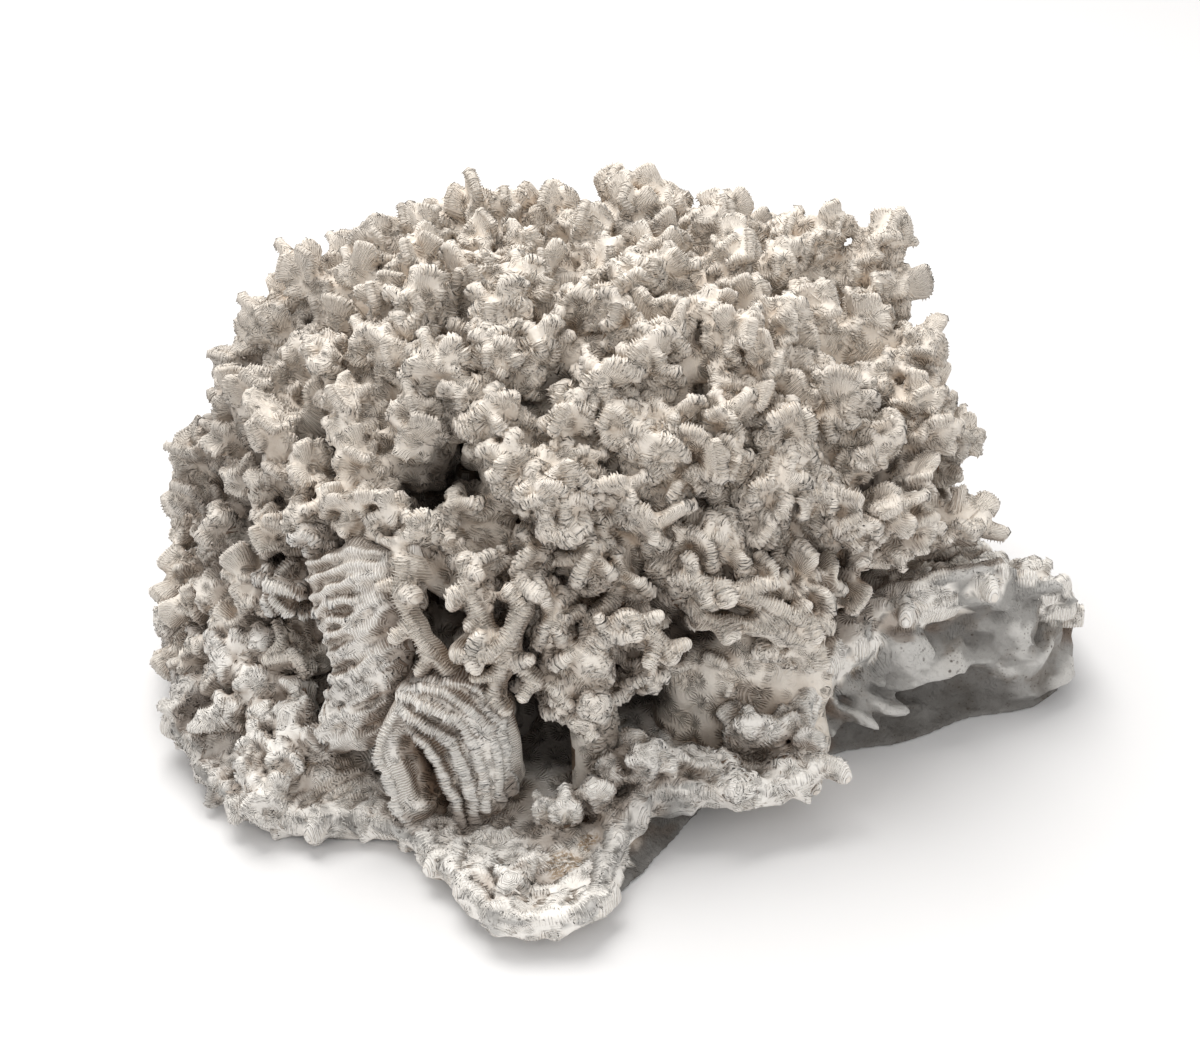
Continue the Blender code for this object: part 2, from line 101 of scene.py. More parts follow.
# Stems listed one by one: bearing, climb and how far the tip stands out of the canopy.
STEMS = (
    # crown, from the back edge forward
    (-150, 72, 4), (-170, 76, 2), (-112, 68, 2), (170, 82, 2), (-98, 65, 4), (-88, 70, 0), (-92, 62, 1),
    (-95, 56, 7), (-91, 49, 4), (-57, 67, 3), (-60, 75, 0), (-42, 79, 0), (-60, 85, 2), (-30, 71, 1),
    (-73, 65, 0), (-25, 66, 2), (-13, 69, 0), (18, 73, 3), (33, 68, 1), (22, 66, 2), (155, 74, 3),
    (140, 69, 3), (125, 68, 6), (95, 80, 2), (75, 79, 3), (92, 70, 2), (7, 64, 2), (-1, 60, 0), (9, 60, -1),
    # lumps over the fan
    (-48, 39, 2, 0.7), (-44, 42, 2, 0.7), (-39, 43, 2, 0.75), (-33, 43, 2, 0.7), (-45.5, 37, 1, 0.6),
    (-40, 39.5, 2, 0.65), (-28, 43, 2, 0.7), (-35, 40.5, 1, 0.6), (-30, 40, 2, 0.65),
    # left side
    (-66, 55, 1), (-60, 60, 0), (-50, 61, 1), (-37, 62, 2), (-28, 61, -1), (-38, 57, -1), (-20, 59, 0),
    (-53, 53, 0), (-75, 46, 1), (-79, 42, 2), (-64, 45, 0), (-76, 38, 1), (-80, 32, 5), (-60, 41, -2),
    (-45, 48, -1), (-37, 54, -3), (-78, 28, 2), (-69, 27, 0), (-52, 43, 1), (-60, 25, -4), (-52, 28, -6),
    (-72, 15, 1), (-79, 14, 6), (-60, 17, -3), (-66, 9, 3), (-52, 16, -5), (-82, 6, 2), (-74, 6, 4),
    (-58, 8, 2), (-86, 20, 1), (-88, 38, 1),
    # centre
    (-25, 48, -6), (-14, 54, 2), (-8, 51, 3), (-2, 49, 2), (-2, 54, 0), (16, 55, 1), (11, 51, 1),
    (15, 46, 0), (23, 58, 0), (34, 56, 1), (27, 53, 0), (22, 51, -2), (3, 43, -2), (9, 40, -3),
    (1, 30, 4), (-4, 35, 1), (1, 21, -1), (-18, 39, 1),
    # right side
    (49, 64, 3), (64, 62, 2), (52, 59, 0), (45, 57, -1), (82, 60, 1), (97, 64, 0), (105, 60, 2),
    (108, 57, 10), (104, 53, 18), (90, 51, 2), (97, 50, 8), (57, 50, 4), (86, 45, 9), (78, 42, 3),
    (76, 38, 4), (87, 31, 7),
    (33, 51, -1), (46, 52, 1), (44, 48, 0), (39, 46, -2), (57, 43, 2), (46, 42, 0), (50, 38, 0), (56, 36, 2),
    (36, 42, -3), (29, 41, -3), (24, 42, -2), (61, 32, 2), (72, 26, 7), (53, 29, -12), (44, 31, -8),
    (34, 34, -2), (40, 33, -3), (21, 38, 2), (29, 22, -12),
)
# Behind, stems stand in rows: climb, first bearing, last, how many.
BACK_ROWS = (
    (68, 118, 240, 6), (58, 116, 256, 9), (48, 106, 264, 12), (39, 102, 266, 13), (30, 100, 268, 14),
    (21, 100, 268, 14), (13, 102, 264, 13), (6, 108, 256, 12),
)
BACK_JITTER = 3.0
STEM_SEED = 5

# The fan's ridges, top first, each from the free edge to its right shoulder.
FAN_RIDGES = (
    ((-45, 33, 2), (-36.4, 37.2, 2), (-27.6, 40.3, -1)),
    ((-43, 30, 2), (-34.6, 34.5, 2.5), (-27.3, 38.1, -1)),
    ((-40.3, 26.9, 2.5), (-33.2, 31.5, 3), (-27.1, 35.8, 0)),
    ((-38.8, 23.1, 3), (-32.9, 27.7, 3.5), (-28.1, 31.8, 0)),
    ((-37.3, 19.9, 3.5), (-31.8, 24.1, 4), (-27.4, 28.2, 1)),
    ((-38.1, 15.9, 4.5), (-32.5, 20.2, 4.5), (-27.5, 24.2, 2)),
    ((-38.9, 11.4, 5.5), (-32.8, 16.1, 5.5), (-27.9, 19.7, 3)),
    ((-37.9, 8.6, 5), (-32.8, 11.7, 5.5), (-29, 14.6, 4)),
)
# The ear's ridges, top first, then the thick folded edge on its left and the floor of the groove beside it.
EAR_RIDGES = (
    ((-25.2, 22.6, 5), (-20, 24.2, 5.5), (-14.6, 23.1, 4.5), (-11.5, 17.1, 3), (-10.5, 6, 2)),
    ((-25.3, 21.8, 8), (-19.8, 22.6, 8.5), (-15.2, 21, 7.5), (-12.2, 15.8, 6), (-11.4, 5.1, 4.5)),
    ((-25.3, 20.6, 10), (-20.2, 21, 10.5), (-16.3, 18.8, 9.5), (-13.7, 13.2, 8), (-13, 3.3, 6)),
    ((-24.9, 19.3, 11.5), (-21.1, 18.8, 11.5), (-17.4, 15.9, 10.5), (-15.3, 9.6, 9), (-14.6, 1.1, 7)),
    ((-25.2, 17.2, 10), (-22.2, 15.9, 9.5), (-19.4, 12.1, 9), (-17.4, 5.9, 8), (-16.5, -1.3, 7)),
)
EAR_EDGE = ((-25.4, 18.1, 12), (-26.4, 14.4, 13.5), (-24.6, 8.4, 13.5), (-22.1, 0.3, 12), (-19.4, -6.4, 10),
            (-17.5, -11.4, 8))
EAR_GROOVE = ((-26.3, 13.5, 4), (-24.3, 6.7, 2), (-21.6, -1.3, 1), (-19.6, -8.2, 1))
# Arms that lie along the thicket, root first: points as for the stems.
ARMS = (
    ((-28.2, 38.4, 2), (-27.2, 33.6, 3.5), (-23.8, 29, 4), (-19.6, 25.2, 3)),
    ((-18.5, 40.2, 3), (-16.5, 36, 4.5), (-13.3, 31.2, 5)),
    ((-17.5, 28.3, 8), (-13.8, 28.7, 8.5), (-10.4, 31, 7), (-8.2, 35.3, 5)),
    ((3, 29, 0), (9, 34, 4), (15, 28, 6)),
    ((-9, 40, 0), (-9, 35, 4), (-11, 28, 5), (-13, 21, 4)),
    ((-11, 30, 3), (-9, 28, 5), (-6, 25, 5)),
    ((19, 38, -3), (27, 35, 0), (34, 30, 1), (40, 26, 1)), ((23, 32, -4), (31, 29, -1), (38, 24, 1)),
)
# Knobby column between the two deep openings, root last, and the pitted wall behind the right one: first
# bearing, last, step, lowest climb, highest and depth.
COLUMN = ((4, -0.5, -7), (3.9, 6.4, -9), (3.4, 14.1, -9), (2.6, 22.6, -6), (2.9, 28.8, -2))
BACK_WALL = (24.0, 46.0, 5.1, 2.0, 25.0, -20.0)

# Base plate, right round from the back: bearing, foot radius, rim radius, rim height, floor height.
PLATE_PROFILE = (
    (-180, 76, 85, 15, 16), (-155, 84, 93, 14, 16), (-130, 94, 103, 12, 17), (-105, 101, 110, 12, 18),
    (-85, 105, 113, 13, 20), (-68, 109, 115, 15, 21), (-58, 115, 120, 13, 20), (-50, 117, 122, 10, 18),
    (-42, 115, 120, 9, 15), (-34, 110, 115, 9, 11), (-28, 103, 107, 9, 7), (-22, 103, 108, 9, 6),
    (-14, 112, 120, 10, 6), (-8, 124, 133, 11, 6), (1, 122, 131, 11, 6), (6, 112, 108, 14, 8),
    (11, 103, 97, 17, 9), (18, 91, 100, 18, 10), (27, 82, 106, 18, 11), (35, 80, 106, 20, 13),
    (40, 84, 91, 26, 17), (51, 91, 88, 32, 23), (61, 105, 94, 38, 28), (68, 114, 108, 46, 33),
    (73, 127, 123, 42, 32), (79, 134, 136, 26, 23), (87, 127, 132, 20, 19), (105, 105, 112, 15, 17),
    (130, 92, 101, 14, 17), (155, 82, 91, 15, 16),
)
# The plate's middle rises to a mound: radius and height above the floor of each step, and the top's height.
MOUND = ((62.0, 3.0), (44.0, 10.0), (22.0, 17.0))
MOUND_TOP = 28.0
RIM_THICKNESS = 3.2
RIM_BAND = 20.0
# Frilled ridges along the rim: first and last bearing, inset, rise, height of the lobes and their length.
RIM_FRILLS = (
    (-180, 69, 2.4, -0.6, 1.2, 2.0), (94, 180, 2.4, -0.6, 1.2, 2.0), (36, 68, 0.6, -3.2, 1.5, 2.7),
    (36, 67, 5.2, 1.0, 1.7, 2.9), (34, 66, 8.6, 1.6, 1.9, 3.3),
)
# Brown silt that lies on the tray: bearing, radius and how wide.
SILT = ((-1, 108, 6), (2, 101, 4), (-40, 101, 4), (-52, 92, 4), (-30, 97, 3))
# Cups on the plate: bearing, radius and half width.
CUPS = (
    (-48, 107, 3.2), (-45, 112, 2.8), (-53, 103, 3.0), (-44, 104, 2.6), (-12, 112, 3.2), (-5, 108, 3.4),
    (3, 112, 3.0), (-14, 104, 3.0), (0, 117, 2.6), (7, 96, 3.0), (14, 90, 2.8), (22, 92, 3.0),
    (28, 90, 3.0), (33, 92, 2.8), (48, 74, 3.0), (56, 78, 3.2), (62, 84, 3.0), (-10, 121, 2.8),
    (-19, 100, 2.8), (38, 82, 2.6),
)
# Broken ledge at the left: ribs, spire and flap.
RIBS = ((-43.5, 106, -39.5, 96), (-41.6, 106, -37.8, 95), (-39.8, 106, -36.0, 94), (-38.0, 107, -34.2, 94),
        (-36.2, 107, -32.5, 94), (-34.4, 107, -31.0, 95))
SPIRE = (-40.5, 107.5, 11.0)
FLAP = ((-55.5, 96, 5), (-58, 93, 9), (-61, 89, 11), (-60, 85, 8), (-57.5, 87, 5))
# Overhangs of the outer wall: bearing, height of the free edge and how far the wall steps back under it.
OVERHANGS = (
    (-180, 7, 3), (-120, 6, 3), (-80, 7, 4), (-60, 6, 5), (-45, 6, 4), (-30, 4.5, 3), (-8, 5, 4), (3, 7, 6),
    (10, 8, 5), (20, 8, 6), (30, 8, 6), (40, 10, 6), (48, 6, 6), (51, 8, 7), (54, 12, 7), (56, 7, 6),
    (58, 10, 7), (61, 16, 8), (66.5, 18.5, 10), (69.5, 16, 9), (71.5, 5, 6), (77, 4, 5), (84, 4, 4),
    (110, 7, 3), (150, 7, 3),
)
# Pockets of the outer wall: bearing, height, width, half height and depth.
POCKETS = (
    (70.0, 31, 6, 3.6, 3), (65.0, 35, 5, 2.6, 2), (53.6, 24, 3.2, 6, 6), (75.0, 22, 3, 6, 4),
    (58.5, 14, 7, 3, 4), (46.0, 20, 2.2, 8, 5), (42.0, 12, 2.5, 7, 5), (24.0, 12, 4, 4, 6), (8.0, 9, 6, 3, 4),
    (79.0, 20, 2, 8, 4), (-46.0, 5, 7, 2, 4), (-62.0, 7, 6, 2, 4), (30.0, 10, 3, 5, 4), (67.0, 26, 2.6, 5, 3),
)
# Knobs that stand on the tray: bearing, radius, height and girth.
TRAY_KNOBS = (
    (-7, 117, 9, 0.9), (-1, 92, 13, 0.9), (3, 88, 15, 0.8), (6, 80, 16, 0.8), (11, 85, 17, 1.0),
    (15, 84, 12, 0.9), (19, 82, 11, 0.8), (24, 88, 9, 0.8), (29, 81, 17, 0.9), (33, 84, 14, 0.9),
    (36, 95, 8, 0.8), (39, 76, 13, 0.9), (45, 80, 9, 0.8), (31, 97, 5, 0.7), (24, 99, 5, 0.7),
)
# Small stems on the broken ledge at the left.
CRUST_KNOBS = (
    (-62, 97, 14, 1.0), (-57, 100, 11, 0.9), (-66, 92, 18, 1.1), (-52, 96, 13, 0.9), (-48, 100, 9, 0.8),
    (-55, 88, 20, 1.0), (-60, 84, 24, 1.1), (-47, 90, 13, 0.9), (-69, 100, 10, 0.9), (-43, 96, 9, 0.8),
)
# Deep openings in the thicket: bearing, climb and half width.
HOLES = (
    (-7, 10, 13), (13, 17, 7.5), (23, 32, 8), (-32, 50, 8), (-12, 68, 6), (-55, 47, 7), (-62, 33, 8),
    (75, 45, 6), (47, 31, 6), (62, 35, 8),
)


def unit(vector: Array) -> Array:
    """Vector, or each row of vectors, at length one."""
    return vector / np.maximum(np.linalg.norm(vector, axis=-1, keepdims=True), 1e-9)


def ease(value: Amount) -> Amount:
    """Smooth step from 0 to 1."""
    value = np.clip(value, 0.0, 1.0)
    return value * value * (3.0 - 2.0 * value)


@dataclass(frozen=True)
class Canopy:
    """Rounded envelope that the tips of the boughs reach."""

    centre: Triple = (-6.0, 24.0, 4.0)
    radii: Triple = (110.0, 86.0, 120.0)
    power: float = 2.45

    def direction(self, bearing: float, climb: float) -> Array:
        """Unit vector of a bearing and a climb.

        Args:
            bearing: degrees from the front (-Y) towards the right (+X).
            climb: degrees above level.

        Returns:
            The direction as three numbers.
        """
        b, c = math.radians(bearing), math.radians(climb)
        return np.array((math.sin(b) * math.cos(c), -math.cos(b) * math.cos(c), math.sin(c)))

    def radius(self, rays: Array) -> Array:
        """Distance from the centre to the canopy along unit rays."""
        scaled = np.abs(rays / np.array(self.radii)) ** self.power
        return scaled.sum(axis=-1) ** (-1.0 / self.power)

    def point(self, bearing: float, climb: float, reach: float = 0.0, share: float = 1.0) -> Array:
        """Point on the canopy, at a share of its radius and a reach beyond that."""
        ray = self.direction(bearing, climb)
        return np.array(self.centre) + ray * (share * self.radius(ray) + reach)

    def line(self, places: Sequence) -> Array:
        """Points on the canopy, one per row, each from a bearing, a climb and a reach."""
        return np.array([self.point(*place) for place in places])

    def reach_of(self, points: Array) -> Array:
        """How far points stand out of the canopy; negative inside it."""
        away = points - np.array(self.centre)
        length = np.linalg.norm(away, axis=-1)
        return length - self.radius(unit(away))


CANOPY = Canopy()
CENTRE = np.array(CANOPY.centre)


@dataclass(frozen=True)
class Room:
    """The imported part's box, which every tip keeps inside."""

    low: tuple[float, ...] = tuple(number / MM for number in CAD_BOX[0])
    high: tuple[float, ...] = tuple(number / MM for number in CAD_BOX[1])
    margin: float = 5.6
    give: float = 2.5
    level: float = 0.2

    def held(self, points: Array) -> Array:
        """Points drawn in softly so that none leaves the box at the sides or the top."""
        low = np.array((self.low[0] + self.give, self.low[1] + self.give, -math.inf))
        over = points - np.clip(points, low, np.array(self.high) - self.give)
        return points - over + np.sign(over) * self.give * (1.0 - np.exp(-np.abs(over) / self.give))

    def reach(self, bearing: float, climb: float, wanted: float) -> float:
        """Wanted reach of a tip, or less where it would leave the box.

        Args:
            bearing: degrees from the front.
            climb: degrees above level.
            wanted: reach beyond the canopy.

        Returns:
            The reach that the tip may have.
        """
        ray, tip = CANOPY.direction(bearing, climb), CANOPY.point(bearing, climb, wanted)
        for part, place, low, high in zip(ray, tip, self.low, self.high):
            over = place - high + self.margin if part > 0 else low + self.margin - place
            if over > 0.0 and abs(part) > self.level:
                wanted = min(wanted, wanted - over / abs(part))
                tip = CANOPY.point(bearing, climb, wanted)
        return wanted


ROOM = Room()


def curve_towards(start: Array, pull: Array, end: Array, step: float) -> Array:
    """Points on a curve from start to end that is drawn towards pull.

    Args:
        start: first point.
        pull: point that the curve bends towards.
        end: last point.
        step: wanted distance between points.

    Returns:
        The points, one per row.
    """
    length = np.linalg.norm(pull - start) + np.linalg.norm(end - pull)
    t = np.linspace(0.0, 1.0, max(4, int(length / step)))[:, None]
    return start * (1 - t) ** 2 + pull * (2 * t * (1 - t)) + end * t ** 2


def wave(run: Array, lengths: Pair, chance: Random) -> Array:
    """Sine along a run, its length and its start left to chance."""
    return np.sin(math.tau * run / chance.uniform(*lengths) + chance.uniform(0.0, math.tau))


def cubic(start: Amount, leaving: Amount, end: Amount, arriving: Amount, t: Amount) -> Amount:
    """Place at a share t of a smooth piece, from its two ends and the pull at each."""
    return (start * (2 * t ** 3 - 3 * t ** 2 + 1) + leaving * (t ** 3 - 2 * t ** 2 + t)
            + end * (3 * t ** 2 - 2 * t ** 3) + arriving * (t ** 3 - t ** 2))


def curve_along(points: Array, step: float) -> Array:
    """Smooth curve through a few points, by cubic pieces.

    Args:
        points: the points, one per row.
        step: wanted distance between points.

    Returns:
        The points of the curve.
    """
    pulls = np.gradient(points, axis=0)
    parts = []
    for i in range(len(points) - 1):
        count = max(3, int(np.linalg.norm(points[i + 1] - points[i]) / step))
        t = np.linspace(0.0, 1.0, count, endpoint=i == len(points) - 2)[:, None]
        parts.append(cubic(points[i], pulls[i], points[i + 1], pulls[i + 1], t))
    return np.concatenate(parts)


def run_length(points: Array) -> Array:
    """Distance along a chain of points, starting at 0."""
    steps = np.linalg.norm(np.diff(points, axis=0), axis=1)
    return np.concatenate(((0.0,), np.cumsum(steps)))


@dataclass
class Rods:
    """Tapered rods that a piece is fused from, with what its finish needs to know of each."""

    start: list[Array] = field(default_factory=list)
    end: list[Array] = field(default_factory=list)
    start_radius: list[float] = field(default_factory=list)
    end_radius: list[float] = field(default_factory=list)
    comb: list[float] = field(default_factory=list)
    rate: list[float] = field(default_factory=list)
    along: list[Array] = field(default_factory=list)
    combed: list[bool] = field(default_factory=list)
    tint: list[float] = field(default_factory=list)

    def add(self, start: Array, end: Array, radii: Pair, tint: float,
            comb: float = 0.0, rate: float = 1.0, along: Array | None = None) -> None:
        """Add one rod.

        Args:
            start: middle of its first end.
            end: middle of its last end.
            radii: radius at each end.
            tint: shade of the stem that it belongs to, from 0 to 1.
            comb: count of septa along the wall, at this rod.
            rate: how much closer together the septa stand at the foot of the wall.
            along: unit direction in which that count grows; none on a rod without septa.
        """
        self.start.append(start)
        self.end.append(end)
        self.start_radius.append(radii[0])
        self.end_radius.append(radii[1])
        self.comb.append(comb)
        self.rate.append(rate)
        self.along.append(UP if along is None else along)
        self.combed.append(along is not None)
        self.tint.append(tint)

    def chain(self, points: Array, radii: Pair, tint: float = 0.5) -> None:
        """Round rod through a chain of points, evenly tapered.

        Args:
            points: the points, one per row.
            radii: radius at the first and at the last.
            tint: shade of the stem.
        """
        widths = np.linspace(radii[0], radii[1], len(points))
        for i in range(len(points) - 1):
            self.add(points[i], points[i + 1], (widths[i], widths[i + 1]), tint)

    def wall(self, roots: Array, crests: Array, radii: Pair, tint: float,
             swell: float = 0.0) -> None:
        """Thin wall between a line of roots and a line of crests, combed by septa.

        Args:
            roots: points along the foot of the wall.
            crests: matching points along its crest.
            radii: half thickness at the root and at the crest.
            tint: shade of the stem.
            swell: how much it thickens and thins along its run, in millimetres.
        """
        along = unit(np.gradient(crests, axis=0))
        count = run_length(crests) / SEPTA_PITCH
        spacing = np.linalg.norm(np.gradient(crests, axis=0), axis=1)
        below = np.linalg.norm(np.gradient(roots, axis=0), axis=1)
        rates = np.clip(spacing / np.maximum(below, 1e-3), 0.4, 4.0)
        beads = swell * np.sin(count * SEPTA_PITCH / 1.15 + 7.0 * tint)
        for i in range(len(roots)):
            self.add(roots[i], crests[i], (radii[0] + beads[i], radii[1] + beads[i]), tint,
                     count[i], rates[i], along[i])


class Field:
    """Signed distances to a set of rods on an even grid."""

    FAR = 12.0

    def __init__(self, low: Array, high: Array, step: float, band: float = 5.0) -> None:
        """Grid that covers a box.

        Args:
            low: lowest corner.
            high: highest corner.
            step: spacing of the grid.
            band: how far outside the rods the distances are worked out.
        """
        self.step = step
        self.band = band
        self.origin = np.floor(low / step) * step - 2 * step
        size = np.ceil((high - self.origin) / step).astype(int) + 3
        self.axes = [self.origin[k] + step * np.arange(size[k]) for k in range(3)]
        self.distance = np.full(size, self.FAR, np.float32)
        self.owner = np.full(size, -1, np.int32)
        self.wall_gap = np.full(size, self.FAR, np.float32)
        self.wall = np.full(size, -1, np.int32)

    def add_rods(self, rods: Rods) -> None:
        """Lay every rod into the grid, each over its own small window."""
        for index in range(len(rods.start)):
            self._add_rod(rods, index)

    def _add_rod(self, rods: Rods, index: int) -> None:
        """Lay one tapered, round-ended rod into the grid, as the owner of the points nearest to it."""
        start, end = rods.start[index], rods.end[index]
        first, last = rods.start_radius[index], rods.end_radius[index]
        margin = max(first, last) + self.band
        low = np.floor((np.minimum(start, end) - margin - self.origin) / self.step).astype(int)
        high = np.ceil((np.maximum(start, end) + margin - self.origin) / self.step).astype(int) + 1
        low = np.maximum(low, 0)
        high = np.minimum(high, self.distance.shape)
        if np.any(low >= high):
            return
        window = tuple(slice(low[k], high[k]) for k in range(3))
        x = (self.axes[0][window[0]] - start[0])[:, None, None]
        y = (self.axes[1][window[1]] - start[1])[None, :, None]
        z = (self.axes[2][window[2]] - start[2])[None, None, :]
        run = end - start
        t = np.clip((x * run[0] + y * run[1] + z * run[2]) / max(float(run @ run), 1e-6), 0.0, 1.0)
        gap = np.sqrt((x - t * run[0]) ** 2 + (y - t * run[1]) ** 2 + (z - t * run[2]) ** 2)
        gap = (gap - first - (last - first) * t).astype(np.float32)
        near = gap < self.distance[window]
        self.distance[window][near] = gap[near]
        self.owner[window][near] = index
        if rods.combed[index]:
            near = gap < self.wall_gap[window]
            self.wall_gap[window][near] = gap[near]
            self.wall[window][near] = index

    def soften(self, passes: int) -> None:
        """Round the creases where rods meet."""
        for _ in range(passes):
            for k in range(3):
                layers = np.moveaxis(self.distance, k, 0)
                layers[1:-1] = (layers[:-2] + 2 * layers[1:-1] + layers[2:]) / 4

    def cut_below(self, height: float) -> None:
        """Cut flat at a height."""
        level = (height - self.axes[2])[None, None, :].astype(np.float32)
        self.distance = np.maximum(self.distance, level)

    def skin(self) -> tuple[Array, Array]:
        """Closed surface where the distance is zero.

        Returns:
            The points, and the quads as four point numbers each.
        """
        value = self.distance
        inside = value < 0
        size = np.array(value.shape)
        count = np.zeros(size - 1, np.uint8)
        for corner in np.ndindex(2, 2, 2):
            count += inside[tuple(slice(c, c + n - 1) for c, n in zip(corner, size))]
        cells = np.argwhere((count > 0) & (count < 8))
        number = np.full(size - 1, -1, np.int64)
        number[tuple(cells.T)] = np.arange(len(cells))
        total = np.zeros((len(cells), 3))
        hits = np.zeros(len(cells))
        for axis in range(3):
            step = np.eye(3, dtype=int)[axis]
            for pair in np.ndindex(2, 2):
                corner = np.insert(np.array(pair), axis, 0)
                here = value[tuple((cells + corner).T)]
                there = value[tuple((cells + corner + step).T)]
                crossing = (here < 0) != (there < 0)
                share = here[crossing] / (here[crossing] - there[crossing])
                total[crossing] += corner + share[:, None] * step
                hits[crossing] += 1
        points = self.origin + self.step * (cells + total / hits[:, None])
        quads = [self._quads_across(axis, inside, number) for axis in range(3)]
        return points, np.concatenate(quads)

    @staticmethod
    def _quads_across(axis: int, inside: Array, number: Array) -> Array:
        """Quads across every grid edge of one axis that the surface crosses.

        Args:
            axis: number of the axis.
            inside: whether each grid point is inside.
            number: point number of each cell, or -1.

        Returns:
            The quads as four point numbers each.
        """
        step = np.eye(3, dtype=int)[axis]
        second = np.eye(3, dtype=int)[(axis + 1) % 3]
        third = np.eye(3, dtype=int)[(axis + 2) % 3]
        here = inside[tuple(slice(0, n - s) for n, s in zip(inside.shape, step))]
        there = inside[tuple(slice(s, n) for n, s in zip(inside.shape, step))]
        edges = np.argwhere(here != there)
        low = np.minimum(edges[:, (axis + 1) % 3], edges[:, (axis + 2) % 3])
        edges = edges[(low > 0) & (edges < np.array(number.shape)).all(axis=1)]
        outward = inside[tuple(edges.T)]
        corners = [number[tuple((edges - shift).T)] for shift in (second + third, third, 0 * second, second)]
        quads = np.stack(corners, axis=1)
        quads[~outward] = quads[~outward][:, ::-1]
        return quads[(quads >= 0).all(axis=1)]

    def distance_at(self, points: Array) -> Array:
        """Distance to the surface at points, evenly blended between grid points.

        Args:
            points: the points, one per row.

        Returns:
            A distance for each point.
        """
        place = (points - self.origin) / self.step
        limit = np.array(self.distance.shape) - 2
        low = np.clip(np.floor(place).astype(int), 0, limit)
        share = np.clip(place - low, 0.0, 1.0)
        total = np.zeros(len(points))
        for corner in np.ndindex(2, 2, 2):
            weight = np.prod([share[:, k] if corner[k] else 1 - share[:, k] for k in range(3)], axis=0)
            total += weight * self.distance[tuple((low + corner).T)]
        return total

    def openness(self, points: Array, normals: Array, reach: float) -> Array:
        """How open it is in front of points: 0 deep in a crack, 1 on a flat or a crest.

        Args:
            points: points of the skin.
            normals: their normals.
            reach: how far in front of the skin to look.

        Returns:
            A number for each point.
        """
        return np.clip(self.distance_at(points + normals * reach) / reach, 0.0, 1.0)

    def owners_at(self, points: Array) -> tuple[Array, Array, Array]:
        """Rods near each point of the skin.

        Args:
            points: points of the skin.

        Returns:
            The rod that made each point, the nearest wall's rod or -1, and how far that wall is.
        """
        cell = np.rint((points - self.origin) / self.step).astype(int)
        cell = tuple(np.clip(cell, 0, np.array(self.owner.shape) - 1).T)
        return self.owner[cell], self.wall[cell], self.wall_gap[cell]


def clouds(grid: Field, size: float, seed: int) -> Array:
    """Soft chance values over a grid, from -1 to 1.

    Args:
        grid: the grid.
        size: width of a patch in millimetres.
        seed: which chance values.

    Returns:
        One value for each point of the grid.
    """
    places = [(axis - axis[0]) / size for axis in grid.axes]
    chance = np.random.default_rng(seed)
    values = chance.uniform(-1.0, 1.0, [int(place[-1]) + 2 for place in places]).astype(np.float32)
    for k, place in enumerate(places):
        low = np.floor(place).astype(int)
        shape = [-1 if k == other else 1 for other in range(3)]
        share = ease(place - low).astype(np.float32).reshape(shape)
        values = np.take(values, low, axis=k) * (1 - share) + np.take(values, low + 1, axis=k) * share
    return values


class Slot(Enum):
    """The record's material slots."""

    PLATE = "plate_skeleton"
    BRANCH = "branch_skeleton"
    RIDGED = "ridged_skeleton"


@dataclass
class Stem:
    """One stem of a bough, and where its tip reaches."""

    bearing: float
    climb: float
    reach: float
    girth: float = 1.0


@dataclass(frozen=True)
class Stalk:
    """What the walls and knobs of one stem need to know of it."""

    rods: Rods
    spine: Array
    ray: Array
    girth: float
    bare: float
    tint: float

    def across(self) -> tuple[Array, Array]:
        """Two directions across the stem."""
        side = unit(np.cross(self.ray, (0.0, 0.3, 1.0) if abs(self.ray[2]) < 0.9 else (0.0, 1.0, 0.0)))
        return side, np.cross(self.ray, side)


